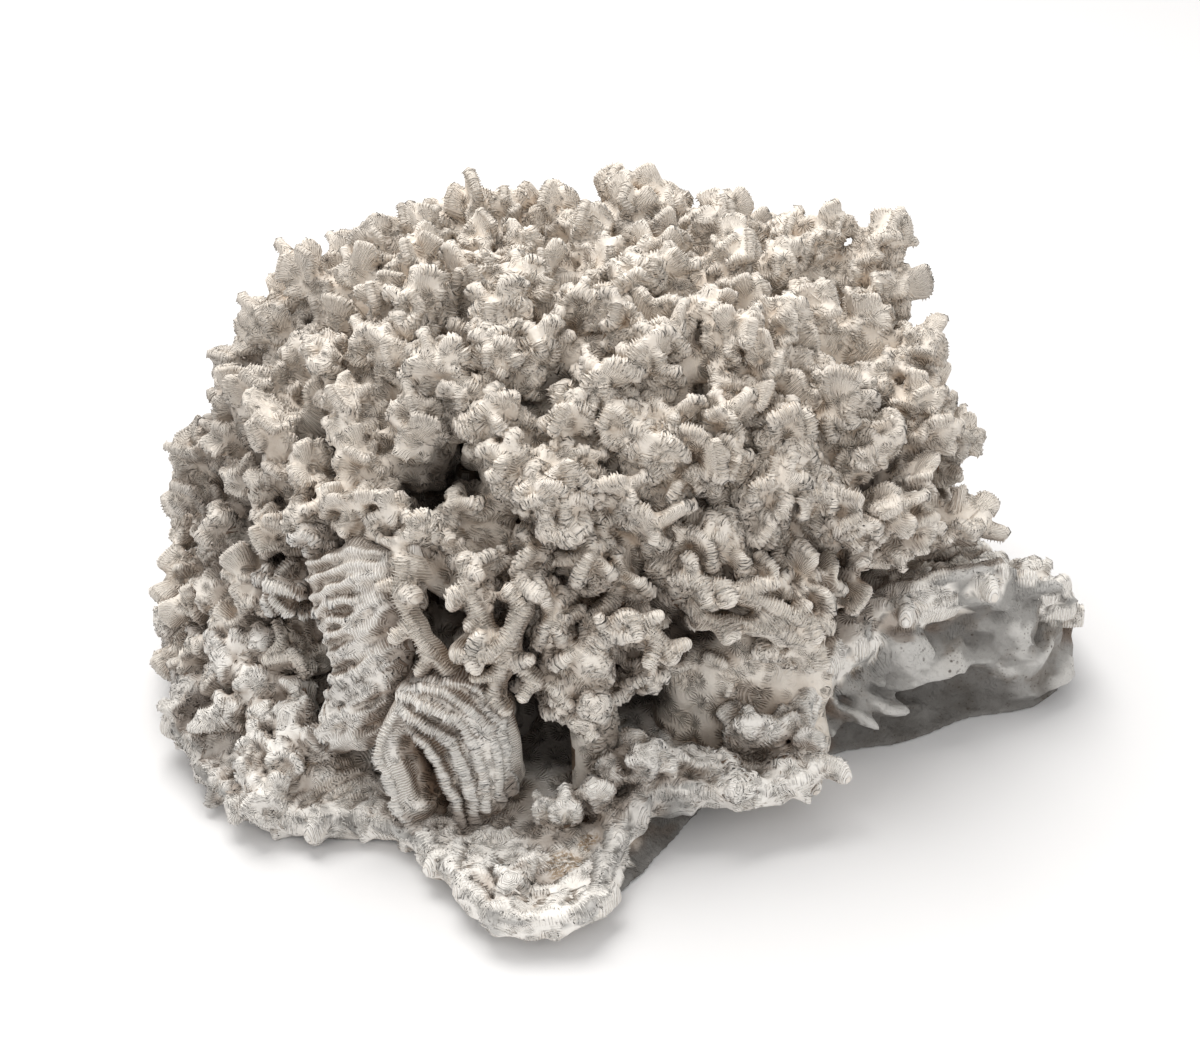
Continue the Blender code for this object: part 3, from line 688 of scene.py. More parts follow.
@dataclass
class StemGrower:
    """Grows the lobed walls round a stem as rods."""

    wall_step: float = 1.15
    wall_height: Pair = (3.6, 7.4)
    root_radius: float = 2.2
    crest_radius: float = 1.25
    core: Pair = (4.4, 2.4)
    lean: float = 0.55
    lobing: float = 0.32
    lobe_length: Pair = (5.0, 8.5)
    wall_counts: tuple[int, ...] = (3, 4, 5, 5, 6)
    top: float = 7.0
    buds: int = 3
    bud_place: Pair = (0.55, 0.95)
    bud_length: Pair = (5.5, 8.0)

    def grow(self, rods: Rods, fork: Array, stem: Stem, chance: Random) -> None:
        """Grow one stem from the bough's fork to its tip on the canopy.

        Args:
            rods: collects the stem's rods.
            fork: where the stem leaves the trunk.
            stem: the stem.
            chance: source of chance for this bough.
        """
        ray = CANOPY.direction(stem.bearing, stem.climb)
        elbow = CANOPY.point(stem.bearing, stem.climb, 0.0, ELBOW_SHARE)
        tip = CANOPY.point(stem.bearing, stem.climb, stem.reach - self.top * stem.girth)
        spine = curve_towards(fork, elbow, tip, self.wall_step)
        self.clothe(rods, spine, ray, stem.girth, 0.25, chance, self.buds)

    def clothe(self, rods: Rods, spine: Array, ray: Array, girth: float, bare: float,
               chance: Random, buds: int = 0) -> None:
        """Core of a stem, the walls round it and small buds on their sides.

        Args:
            rods: collects the rods.
            spine: middle line of the stem, root first.
            ray: direction in which the stem ends.
            girth: scale of its width.
            bare: share of the spine, from the root, that carries no walls.
            chance: source of chance.
            buds: how many buds stand on it.
        """
        tint = chance.random()
        widths = (self.core[0] * girth, self.core[1] * girth)
        rods.chain(spine[::2] if len(spine) > 6 else spine, widths, tint=tint)
        stalk = Stalk(rods, spine, ray, girth, bare, tint)
        walls = chance.choice(self.wall_counts)
        turn = chance.uniform(0.0, math.tau)
        twist = chance.uniform(-0.6, 0.6)
        for k in range(walls):
            angle = turn + math.tau * k / walls + chance.uniform(-0.35, 0.35)
            self._wall(stalk, angle, twist, chance)
        small = StemGrower(wall_height=(2.2, 3.6), crest_radius=1.4, root_radius=1.8, core=(2.3, 1.9), buds=0)
        for _ in range(buds):
            self._bud(stalk, small, chance)

    def _bud(self, stalk: Stalk, grower: StemGrower, chance: Random) -> None:
        """Small side knob on a stem.

        Args:
            stalk: the stem.
            grower: gives the knob its walls.
            chance: source of chance.
        """
        foot = stalk.spine[int(len(stalk.spine) * chance.uniform(*self.bud_place))]
        angle = chance.uniform(0.0, math.tau)
        side, up = stalk.across()
        aside = math.cos(angle) * side + math.sin(angle) * up
        heading = unit(aside + stalk.ray * chance.uniform(0.2, 0.9))
        reach = stalk.girth * chance.uniform(*self.bud_length)
        line = curve_towards(foot, foot + aside * reach * 0.6, foot + heading * reach, 1.3)
        grower.clothe(stalk.rods, line, heading, stalk.girth * chance.uniform(0.75, 1.0), 0.4, chance)

    def _wall(self, stalk: Stalk, angle: float, twist: float, chance: Random) -> None:
        """One lobed wall that climbs a stem and rounds over its top.

        Args:
            stalk: the stem.
            angle: where the wall starts, round the stem.
            twist: how far it turns on its way up.
            chance: source of chance.
        """
        spine, ray, girth = stalk.spine, stalk.ray, stalk.girth
        side, up = stalk.across()
        count = len(spine)
        first = int(count * min(0.75, stalk.bare + chance.uniform(0.0, 0.35)))
        roots = spine[first:] if count - first > 3 else spine
        share = np.linspace(0.0, 1.0, len(roots))
        run = run_length(roots)
        height = girth * chance.uniform(*self.wall_height)
        lobes = wave(run, self.lobe_length, chance)
        out = height * ease(share / 0.35) * (1.0 + self.lobing * lobes)
        heading = angle + twist * share + 0.3 * np.sin(math.tau * run / 7.5 + 3.0 * angle)
        sideways = np.cos(heading)[:, None] * side + np.sin(heading)[:, None] * up
        lift = self.lean * out * ease(share * 1.2)
        crests = roots + sideways * out[:, None] + ray * lift[:, None]
        reach = float(np.linalg.norm(crests[-1] - roots[-1])) * chance.uniform(0.9, 1.15)
        start = math.atan2(self.lean, 1.0)
        end = chance.uniform(0.95, 1.45)
        turns = np.arange(start, end, self.wall_step / max(reach, 2.0))[1:, None]
        over = roots[-1] + (np.cos(turns) * sideways[-1] + np.sin(turns) * ray) * reach
        crests = np.concatenate((crests, over))
        roots = np.concatenate((roots, np.repeat(roots[-1:], len(over), axis=0)))
        thickness = self.crest_radius * girth ** 0.4 * chance.uniform(0.85, 1.2)
        stalk.rods.wall(roots, crests, (self.root_radius * girth ** 0.5, thickness), stalk.tint)


@dataclass
class Hole:
    """Deep opening in the thicket that no web closes."""

    bearing: float
    climb: float
    width: float
    daylight: float = 7.0
    dusk: float = 10.0

    def holds(self, point: Array) -> bool:
        """Whether a point lies in the opening's column."""
        away = point - CENTRE
        ray = CANOPY.direction(self.bearing, self.climb)
        return bool(np.linalg.norm(away - ray * (away @ ray)) < self.width)

    def gloom(self, points: Array) -> Array:
        """How deep in the opening points lie, from 0 outside to 1; the finish paints shade there by it.

        Args:
            points: the points, one per row.

        Returns:
            A number for each point.
        """
        away = points - CENTRE
        ray = CANOPY.direction(self.bearing, self.climb)
        forward = away @ ray
        aside = np.linalg.norm(away - forward[:, None] * ray, axis=1)
        depth = ease((-CANOPY.reach_of(points) - self.daylight) / self.dusk)
        return np.where(forward > 0.0, depth * ease((1.5 * self.width - aside) / (0.6 * self.width)), 0.0)


OPENINGS = tuple(Hole(*hole) for hole in HOLES)


@dataclass
class Web:
    """Flesh between neighbouring stems: floors low down and combed saddles higher up."""

    longest: float = 30.0
    floor_depth: Pair = (15.0, 22.0)
    floor_radius: Pair = (4.2, 5.6)
    saddle_share: float = 0.5
    saddle_depth: Pair = (5.0, 9.0)
    sag: Pair = (1.0, 6.0)

    def neighbours(self, tips: Array) -> list[tuple[int, int]]:
        """Pairs of tips with no third tip in the ball between them.

        Args:
            tips: the tips, one per row.

        Returns:
            The numbers of the two tips of each pair.
        """
        pairs = []
        for i in range(len(tips)):
            for j in range(i + 1, len(tips)):
                length = np.linalg.norm(tips[i] - tips[j])
                if length > self.longest:
                    continue
                middle = (tips[i] + tips[j]) / 2
                inside = np.linalg.norm(tips - middle, axis=1) < 0.499 * length
                if inside.sum() == 0:
                    pairs.append((i, j))
        return pairs

    def weave(self, stems: list[Stem], owners: list[Bough], chance: Random) -> None:
        """Lay the web between all stems, each strand in the bough of its first stem.

        Args:
            stems: every stem.
            owners: the bough of each stem.
            chance: source of chance.
        """
        tips = np.array([CANOPY.point(stem.bearing, stem.climb, stem.reach) for stem in stems])
        for i, j in self.neighbours(tips):
            sunk = chance.uniform(*self.floor_depth)
            ends = [self._under(stems[k], sunk) for k in (i, j)]
            shallow = chance.uniform(*self.saddle_depth)
            high = [self._under(stems[k], shallow) for k in (i, j)]
            width, drop = chance.uniform(*self.floor_radius), chance.uniform(*self.sag)
            combed = chance.random() < self.saddle_share
            if any(hole.holds((ends[0] + ends[1]) / 2) for hole in OPENINGS):
                continue
            rods = owners[i].rods
            rods.chain(np.linspace(ends[0], ends[1], 4), (width, width), tint=chance.random())
            if combed:
                self._saddle(rods, high, drop, chance)

    @staticmethod
    def _under(stem: Stem, depth: float) -> Array:
        """Point on a stem's line at a depth under its tip."""
        return CANOPY.point(stem.bearing, stem.climb, stem.reach - depth)

    @staticmethod
    def _saddle(rods: Rods, ends: list[Array], drop: float, chance: Random) -> None:
        """Wall that hangs between two stems like a saddle.

        Args:
            rods: collects the rods.
            ends: where it leaves each stem.
            drop: how far its middle hangs.
            chance: source of chance.
        """
        inward = unit(CENTRE - (ends[0] + ends[1]) / 2)
        middle = (ends[0] + ends[1]) / 2 + inward * drop
        pull = middle * 2.0 - (ends[0] + ends[1]) / 2.0
        crest = curve_towards(ends[0], pull, ends[1], 1.3)
        aside = unit(np.cross(inward, ends[1] - ends[0]))
        run = run_length(crest)
        wander = 1.2 * wave(run, (9.0, 15.0), chance)
        swell = 1.3 * wave(run, (6.5, 10.0), chance)
        crest = crest + aside * wander[:, None] + inward * swell[:, None]
        rods.wall(crest + inward * 8.0, crest, (2.9, chance.uniform(1.35, 1.7)), chance.random())


@dataclass
class Blades:
    """Septa as one mesh, with what each point needs for its finish."""

    points: Array
    faces: Array
    owner: Array
    rims: Array
    rays: Array


@dataclass
class Septa:
    """Septa that stand out of every crest, as thin blades bent over it."""

    rise: float = 0.95
    thickness: float = 0.38
    sink: float = 0.35
    angles: tuple[float, ...] = (-1.35, 0.0, 1.35)
    taper: tuple[float, ...] = (0.95, 0.5, 0.95)
    ragged: Pair = (0.5, 1.15)
    deepest: float = -13.0
    lowest: float = 1.5
    stray: float = 0.08

    def cut(self, rods: Rods, grid: Field) -> Blades:
        """Blades on the crests of all walls.

        Args:
            rods: the piece's rods.
            grid: its distances, which tell how far the skin lies from each crest.

        Returns:
            The blades.
        """
        crest, root, along, owner = self._lines(rods)
        chance = np.random.default_rng(len(rods.start))
        crest = crest + along * chance.uniform(-self.stray, self.stray, (len(crest), 1))
        along = unit(along + chance.uniform(-self.stray, self.stray, crest.shape))
        out = unit(crest - root)
        out = unit(out - along * (out * along).sum(axis=1, keepdims=True))
        side = np.cross(along, out)
        marches = np.arange(0.6, 3.8, 0.4)
        rims, bases, rays, seen = [], [], [], []
        for angle, taper in zip(self.angles, self.taper):
            ray = math.cos(angle) * out + math.sin(angle) * side
            depth = np.stack([grid.distance_at(crest + ray * step) for step in marches])
            outside = depth > 0.0
            hit = np.argmax(outside, axis=0)
            open_here = outside.any(axis=0) & (hit > 0)
            hit = np.maximum(hit, 1)
            here, there = depth[hit - 1, range(len(hit))], depth[hit, range(len(hit))]
            share = np.clip(-here / np.maximum(there - here, 1e-6), 0.0, 1.0)
            reach = np.where(open_here, marches[hit - 1] + share * (marches[1] - marches[0]), 0.8)
            length = chance.uniform(*self.ragged, len(crest)) * self.rise * taper
            rims.append(crest + ray * (reach + length)[:, None])
            bases.append(crest + ray * (reach - self.sink)[:, None])
            rays.append(ray)
            seen.append(open_here)
        kept = seen[len(seen) // 2] & (np.sum(seen, axis=0) >= 2)
        kept &= (CANOPY.reach_of(crest) > self.deepest) & (crest[:, 2] > self.lowest)
        rims, bases, rays = (np.stack(rows, axis=1)[kept] for rows in (rims, bases, rays))
        half = (along[kept] * self.thickness / 2)[:, None, :]
        corners = np.concatenate((rims, bases - half, bases + half), axis=1)
        count = len(self.angles)
        faces = [(0, count, 2 * count), (count - 1, 3 * count - 1, 2 * count - 1)]
        for k in range(count - 1):
            faces += [(k, k + 1, count + k), (k + 1, count + k + 1, count + k),
                      (k + 1, k, 2 * count + k), (k + 1, 2 * count + k, 2 * count + k + 1)]
        number = np.arange(len(corners))[:, None, None] * 3 * count
        return Blades(corners.reshape(-1, 3), (number + np.array(faces)[None]).reshape(-1, 3),
                      np.repeat(owner[kept], 3 * count), np.tile(rims, (1, 3, 1)).reshape(-1, 3),
                      np.tile(rays, (1, 3, 1)).reshape(-1, 3))

    @staticmethod
    def _lines(rods: Rods) -> tuple[Array, Array, Array, Array]:
        """Place of every septum: crest, root, run of the wall, and its rod."""
        comb, combed = np.array(rods.comb), np.array(rods.combed)
        here = np.flatnonzero(combed[:-1] & combed[1:] & (comb[1:] > comb[:-1]))
        first = np.ceil(comb[here]).astype(int)
        amount = np.ceil(comb[here + 1]).astype(int) - first
        owner = np.repeat(here, amount)
        order = np.arange(len(owner)) - np.repeat(np.cumsum(amount) - amount, amount)
        count = np.repeat(first, amount) + order
        share = ((count - comb[owner]) / (comb[owner + 1] - comb[owner]))[:, None]
        start, end, along = np.array(rods.start), np.array(rods.end), np.array(rods.along)
        crest = end[owner] * (1 - share) + end[owner + 1] * share
        root = start[owner] * (1 - share) + start[owner + 1] * share
        return crest, root, unit(along[owner] * (1 - share) + along[owner + 1] * share), owner


# Longer, ragged septa of the fan, the ear and the boughs whose bearing is this near to the front.
FURRY = Septa(rise=1.05, thickness=0.40, angles=(-1.9, -1.0, 0.0, 1.0, 1.9),
              taper=(0.6, 0.95, 0.75, 0.95, 0.6), ragged=(0.6, 1.2), stray=0.11)
FURRY_WITHIN = 45.0


def placed(name: str, data: bpy.types.ID) -> bpy.types.Object:
    """New object of the scene, from its mesh, lamp or camera."""
    made = bpy.data.objects.new(name, data)
    bpy.context.scene.collection.objects.link(made)
    return made


class Skin:
    """Mesh of one piece, with the values that its finish reads."""

    def __init__(self, name: str, points: Array, faces: Array) -> None:
        """Mesh from points in millimetres and triangles.

        Args:
            name: name of the piece.
            points: the points.
            faces: triangles as three point numbers each.
        """
        self.points = points
        self.mesh = bpy.data.meshes.new(name)
        self.mesh.vertices.add(len(points))
        self.mesh.vertices.foreach_set("co", (points * MM).astype(np.float32).ravel())
        self.mesh.loops.add(faces.size)
        self.mesh.loops.foreach_set("vertex_index", faces.astype(np.int32).ravel())
        self.mesh.polygons.add(len(faces))
        self.mesh.polygons.foreach_set("loop_start", np.arange(0, faces.size, 3, dtype=np.int32))
        self.mesh.polygons.foreach_set("use_smooth", np.ones(len(faces), bool))
        self.mesh.update(calc_edges=True)
        self.piece = placed(name, self.mesh)

    def normals(self) -> Array:
        """Normal of every point."""
        numbers = np.zeros(len(self.mesh.vertices) * 3, np.float32)
        self.mesh.vertex_normals.foreach_get("vector", numbers)
        return numbers.reshape(-1, 3)

    def value(self, name: str, numbers: Array) -> None:
        """Keep one number per point under a name."""
        layer = self.mesh.attributes.new(name, "FLOAT", "POINT")
        layer.data.foreach_set("value", numbers.astype(np.float32))

    def hand_over(self, node: str, material: bpy.types.Material) -> None:
        """Put the piece in place of its CAD node, with its finish.

        Args:
            node: the node.
            material: the finish.
        """
        self.mesh.materials.append(material)
        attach(self.piece, "root")
        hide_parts(node)
        LOG.info("%s: %d triangles", self.piece.name, len(self.mesh.polygons))


def thinned(points: Array, quads: Array, kept: float) -> tuple[Array, Array]:
    """Skin with fewer faces where it is even.

    Args:
        points: points of the skin.
        quads: its quads.
        kept: share of the faces to keep.

    Returns:
        The points and triangles that are left.
    """
    faces = np.concatenate((quads[:, (0, 1, 2)], quads[:, (0, 2, 3)]))
    skin = Skin("dense", points, faces)
    fewer = skin.piece.modifiers.new("fewer", "DECIMATE")
    fewer.ratio = kept
    mesh = skin.piece.evaluated_get(bpy.context.evaluated_depsgraph_get()).to_mesh()
    mesh.calc_loop_triangles()
    places = np.zeros(len(mesh.vertices) * 3, np.float32)
    mesh.vertices.foreach_get("co", places)
    corners = np.zeros(len(mesh.loop_triangles) * 3, np.int32)
    mesh.loop_triangles.foreach_get("vertices", corners)
    bpy.data.objects.remove(skin.piece)
    bpy.data.meshes.remove(skin.mesh)
    return places.reshape(-1, 3) / MM, corners.reshape(-1, 3)


@dataclass
class GrownPiece:
    """A piece fused from rods: the shared way from rods to a finished object."""

    name: str
    node: str
    slot: Slot
    step: float = 0.85
    soften: int = 1
    kept: float = 0.23
    around: float = 9.0
    cut: float = 0.5
    septa: Septa = field(default_factory=Septa)
    rods: Rods = field(default_factory=Rods)

    def build(self, material: bpy.types.Material, surroundings: Field) -> None:
        """Fuse, skin and dress the piece.

        Args:
            material: its finish.
            surroundings: coarse distances to the whole colony.
        """
        grid = self.fuse()
        points, faces = thinned(*grid.skin(), self.kept)
        blades = self.septa.cut(self.rods, grid)
        LOG.info("%s: body %d, septa %d", self.name, len(faces), len(blades.faces))
        body = len(points)
        owner, wall, gap = grid.owners_at(points)
        owner = np.concatenate((owner, blades.owner))
        wall = np.concatenate((wall, blades.owner))
        gap = np.concatenate((gap, np.zeros(len(blades.owner))))
        skin = Skin(self.name, ROOM.held(np.concatenate((points, blades.points))),
                    np.concatenate((faces, blades.faces + body)))
        self.mark(skin, faces, owner, wall, gap)
        normals = skin.normals()
        spots = np.concatenate((points, blades.rims))
        looks = np.concatenate((normals[:body], blades.rays))
        skin.value("crest", np.clip((grid.openness(spots, looks, 2.2) - 0.35) / 0.6, 0.0, 1.0))
        skin.value("blade", np.concatenate((np.zeros(body), np.ones(len(blades.points)))))
        self.mark_more(skin, owner)
        # How open it is a little way out from each point; the finish paints shade where it is closed in.
        wide = surroundings.openness(spots, looks, 5.0) + surroundings.openness(spots, looks, 9.0)
        skin.value("open", wide / 2)
        skin.hand_over(self.node, material)

    def mark_more(self, skin: Skin, owner: Array) -> None:
        """Nothing more, for most pieces."""

    def fuse(self) -> Field:
        """Distances to the piece's rods."""
        ends = np.array(self.rods.start + self.rods.end)
        low = np.maximum(ends.min(axis=0) - self.around, (-300, -300, -4))
        grid = Field(low, ends.max(axis=0) + self.around, self.step)
        grid.add_rods(self.rods)
        grid.soften(self.soften)
        grid.cut_below(self.cut)
        return grid

    def mark(self, skin: Skin, faces: Array, owner: Array, wall: Array, gap: Array) -> None:
        """Give every point its count of septa, depth, shade and whether septa run there.

        Args:
            skin: the piece.
            faces: the triangles of its body.
            owner: for each point, the rod that made it.
            wall: the nearest wall's rod, or -1.
            gap: how far that wall is.
        """
        rods, points = self.rods, skin.points
        near = np.maximum(wall, 0)
        start, along = np.array(rods.start)[near], np.array(rods.along)[near]
        run = np.array(rods.end)[near] - start
        climb = np.clip(((points - start) * run).sum(axis=1) / (run ** 2).sum(axis=1), 0.0, 1.0)
        aside = ((points - start - climb[:, None] * run) * along).sum(axis=1)
        rate = (np.array(rods.rate)[near] * (1.0 - climb) + climb) / SEPTA_PITCH
        comb = np.array(rods.comb)[near] + aside * rate
        septa = np.where(wall >= 0, 1.0 - 0.7 * ease((gap - 1.5) / 3.5), 0.0)
        for first, second in ((0, 1), (1, 2), (2, 0)):
            here, there = faces[:, first], faces[:, second]
            reach = np.linalg.norm(points[there] - points[here], axis=1) * np.maximum(rate[here], rate[there])
            torn = np.abs(comb[there] - comb[here]) > 0.5 + 1.1 * reach
            septa[here[torn]] = 0.0
            septa[there[torn]] = 0.0
        drop = (1.0 - climb) * np.linalg.norm(run, axis=1) + np.maximum(gap, 0.0)
        skin.value("pits", np.maximum(ease((gap - 1.2) / 1.6), 1.0 - np.clip(septa / 0.3, 0.0, 1.0)))
        skin.value("drop", np.where(wall >= 0, np.clip(drop / 8.0, 0.0, 1.0), 1.0))
        skin.value("comb", comb)
        skin.value("septa", septa)
        skin.value("inner", np.clip(-CANOPY.reach_of(points) / 60.0, 0.0, 1.0))
        skin.value("tint", np.array(rods.tint)[np.maximum(owner, 0)])
        # Painted shade deep in the openings of the thicket.
        skin.value("cave", np.max([hole.gloom(points) for hole in OPENINGS], axis=0))


@dataclass
class Bough(GrownPiece):
    """One bough: a trunk that parts into stems."""

    bearing: float = 0.0
    climb: float = 0.0
    stems: list[Stem] = field(default_factory=list)
    arms: list[Array] = field(default_factory=list)
    grower: StemGrower = field(default_factory=StemGrower)

    def grow(self, chance: Random) -> None:
        """Lay out the trunk and every stem."""
        ray = CANOPY.direction(self.bearing, self.climb)
        fork = CANOPY.point(self.bearing, self.climb, 0.0, FORK_SHARE)
        trunk = np.array((CENTRE + ray * TRUNK_START, fork))
        self.rods.chain(trunk, (TRUNK_RADIUS, FORK_RADIUS))
        for stem in self.stems:
            self.grower.grow(self.rods, fork, stem, chance)
        for arm in self.arms:
            self._arm(arm, fork, chance)

    def _arm(self, arm: Array, fork: Array, chance: Random) -> None:
        """Round combed ridge along the thicket, with short side ridges.

        Args:
            arm: points that it passes.
            fork: where it leaves the trunk.
            chance: source of chance.
        """
        spine = curve_along(arm, 1.15)
        out = unit(spine - CENTRE)
        heading = unit(np.gradient(spine, axis=0))
        tint = chance.random()
        self.rods.chain(np.array((fork, spine[0] - 4.0 * out[0])), (6.0, 3.0))
        self.rods.wall(spine - 4.5 * out, spine, (2.4, 1.4), tint, 0.35)
        for _ in range(int(len(spine) / 4)):
            foot = chance.randrange(2, len(spine))
            aside = np.cross(out[foot], heading[foot]) * chance.choice((-1.0, 1.0))
            way = unit(aside + 0.5 * heading[foot] + chance.uniform(-0.2, 0.7) * out[foot])
            tip = spine[foot] + way * chance.uniform(3.5, 6.0) + out[foot]
            line = curve_towards(spine[foot], spine[foot] + way * 2.5, tip, 1.15)
            self.rods.wall(line - 3.0 * out[foot], line, (1.9, 1.25), tint)


@dataclass
class RidgedLamina(Bough):
    """A lamina of long parallel ridges, with a few stems at its edge."""

    ridges: Sequence = ()
    shoulder: Sequence = ()
    groove: Sequence = ()
    groove_radius: float = 4.5
    pitch: float = 3.5
    depth: float = 5.8
    body_radius: float = 3.2
    crest_radius: float = 0.85
    edge_radius: float = 1.1
    curl: float = 3.5

    def grow(self, chance: Random) -> None:
        """Lay out the trunk, the stems, and even ridges between the first guide line and the last."""
        super().grow(chance)
        guides = np.array([CANOPY.line(ridge) for ridge in self.ridges])
        run = run_length(guides[:, 1]) if len(guides) else ()
        for place in np.arange(0.0, run[-1] + 1.0, self.pitch) if len(guides) else ():
            line = np.array([[np.interp(place, run, guides[:, p, k]) for k in range(3)]
                             for p in range(guides.shape[1])])
            self._ridge(line, self.crest_radius, chance)
        if self.groove:
            floor = curve_along(CANOPY.line(self.groove), 3.0)
            self.rods.chain(floor, (self.groove_radius, self.groove_radius))
        for line in self.shoulder:
            self._ridge(CANOPY.line(line), self.edge_radius, chance)

    def _ridge(self, line: Array, radius: float, chance: Random) -> None:
        """One ridge: its crest, the body under it and the way back to the trunk.

        Args:
            line: points that the crest passes.
            radius: half thickness of the crest.
            chance: source of chance.
        """
        crest = curve_along(line, 1.1)
        inward = unit(CENTRE - crest)
        run = run_length(crest)
        share = run / run[-1]
        wander = 0.8 * wave(run, (15.0, 24.0), chance) + 0.3 * wave(run, (5.0, 8.0), chance)
        swell = 0.4 * wave(run, (9.0, 15.0), chance) + 0.3 * wave(run, (3.8, 5.5), chance)
        fade = 3.0 * ease((share - chance.uniform(0.8, 1.1)) / 0.25) - chance.uniform(-0.5, 0.7)
        fade = fade + self.curl * (1.0 - ease(share / chance.uniform(0.12, 0.22)))
        crest = crest + UP * wander[:, None]
        crest = crest + inward * (fade - swell)[:, None]
        body = crest + inward * self.depth
        tint = chance.random()
        root = CANOPY.point(self.bearing, self.climb, 0.0, FORK_SHARE)
        self.rods.chain(body[::3], (self.body_radius, self.body_radius), tint=tint)
        self.rods.chain(np.array((root, body[len(body) // 2])), (8.0, 4.5), tint=tint)
        self.rods.wall(body, crest, (1.8, radius * chance.uniform(0.85, 1.2)), tint, 0.15)


@dataclass
class Profile:
    """The plate's radii and heights at every bearing, on a smooth closed curve."""

    samples: int = 1440
    ruffle: float = 1.1
    inset: float = 1.8
    seed: int = 11

    def __post_init__(self) -> None:
        """Work out the smooth table once."""
        self.bearings = np.linspace(-180.0, 180.0, self.samples, endpoint=False)
        self.table = np.array([self._at(bearing) for bearing in self.bearings])
        chance = Random(self.seed)
        angle = np.radians(self.bearings)
        waves = [(rate, chance.uniform(0, math.tau)) for rate in (19, 31, 47, 68, 97)]
        ripple = sum(np.sin(angle * rate + phase) / (1 + 0.02 * rate) for rate, phase in waves) / 2.2
        lift = sum(np.cos(angle * (rate + 3) + 2 * phase) / (1 + 0.02 * rate) for rate, phase in waves) / 2.2
        self.table[:, 1] += self.ruffle * ripple - self.inset
        self.table[:, 2] += 0.7 * self.ruffle * lift

    @staticmethod
    def _at(bearing: float) -> list[float]:
        """Foot radius, rim radius, rim height and floor height at one bearing.

        Args:
            bearing: degrees from the front.

        Returns:
            The four values.
        """
        rows, count = PLATE_PROFILE, len(PLATE_PROFILE)
        index = max(i for i in range(count) if rows[i][0] <= bearing)
        before, here = rows[index - 1], rows[index]
        there, after = rows[(index + 1) % count], rows[(index + 2) % count]
        t = (bearing - here[0]) / ((there[0] - here[0]) % 360)
        return [cubic(here[k], (there[k] - before[k]) / 2, there[k], (after[k] - here[k]) / 2, t)
                for k in range(1, 5)]

    def at(self, bearing: Array) -> Array:
        """The four values at any bearings, as the last axis."""
        return np.stack([np.interp(bearing, self.bearings, self.table[:, k], period=360.0)
                         for k in range(4)], axis=-1)

    def rim(self, bearing: float) -> float:
        """Radius of the rim at one bearing."""
        return float(self.at(np.array([bearing]))[0, 1])

    def top(self, radius: Array, values: Array) -> Array:
        """Height of the plate's upper side.

        Args:
            radius: distance from the growth point's axis.
            values: what at() gives for the bearings.

        Returns:
            The heights.
        """
        rim, height, floor = values[..., 1], values[..., 2], values[..., 3]
        lip = height - 0.7 * RIM_THICKNESS
        level = height + (lip - height) * ease((rim - 1.6 - radius) / 4.4)
        level = level + (floor - lip) * ease((rim - 6.0 - radius) / 14.0)
        foot = rim - RIM_BAND
        level = level + MOUND[0][1] * np.clip((foot - radius) / (foot - MOUND[0][0]), 0, 1)
        for (far, below), (near, above) in zip(MOUND, (*MOUND[1:], (0.0, MOUND_TOP - floor))):
            level = level + (above - below) * np.clip((far - radius) / (far - near), 0, 1)
        return level


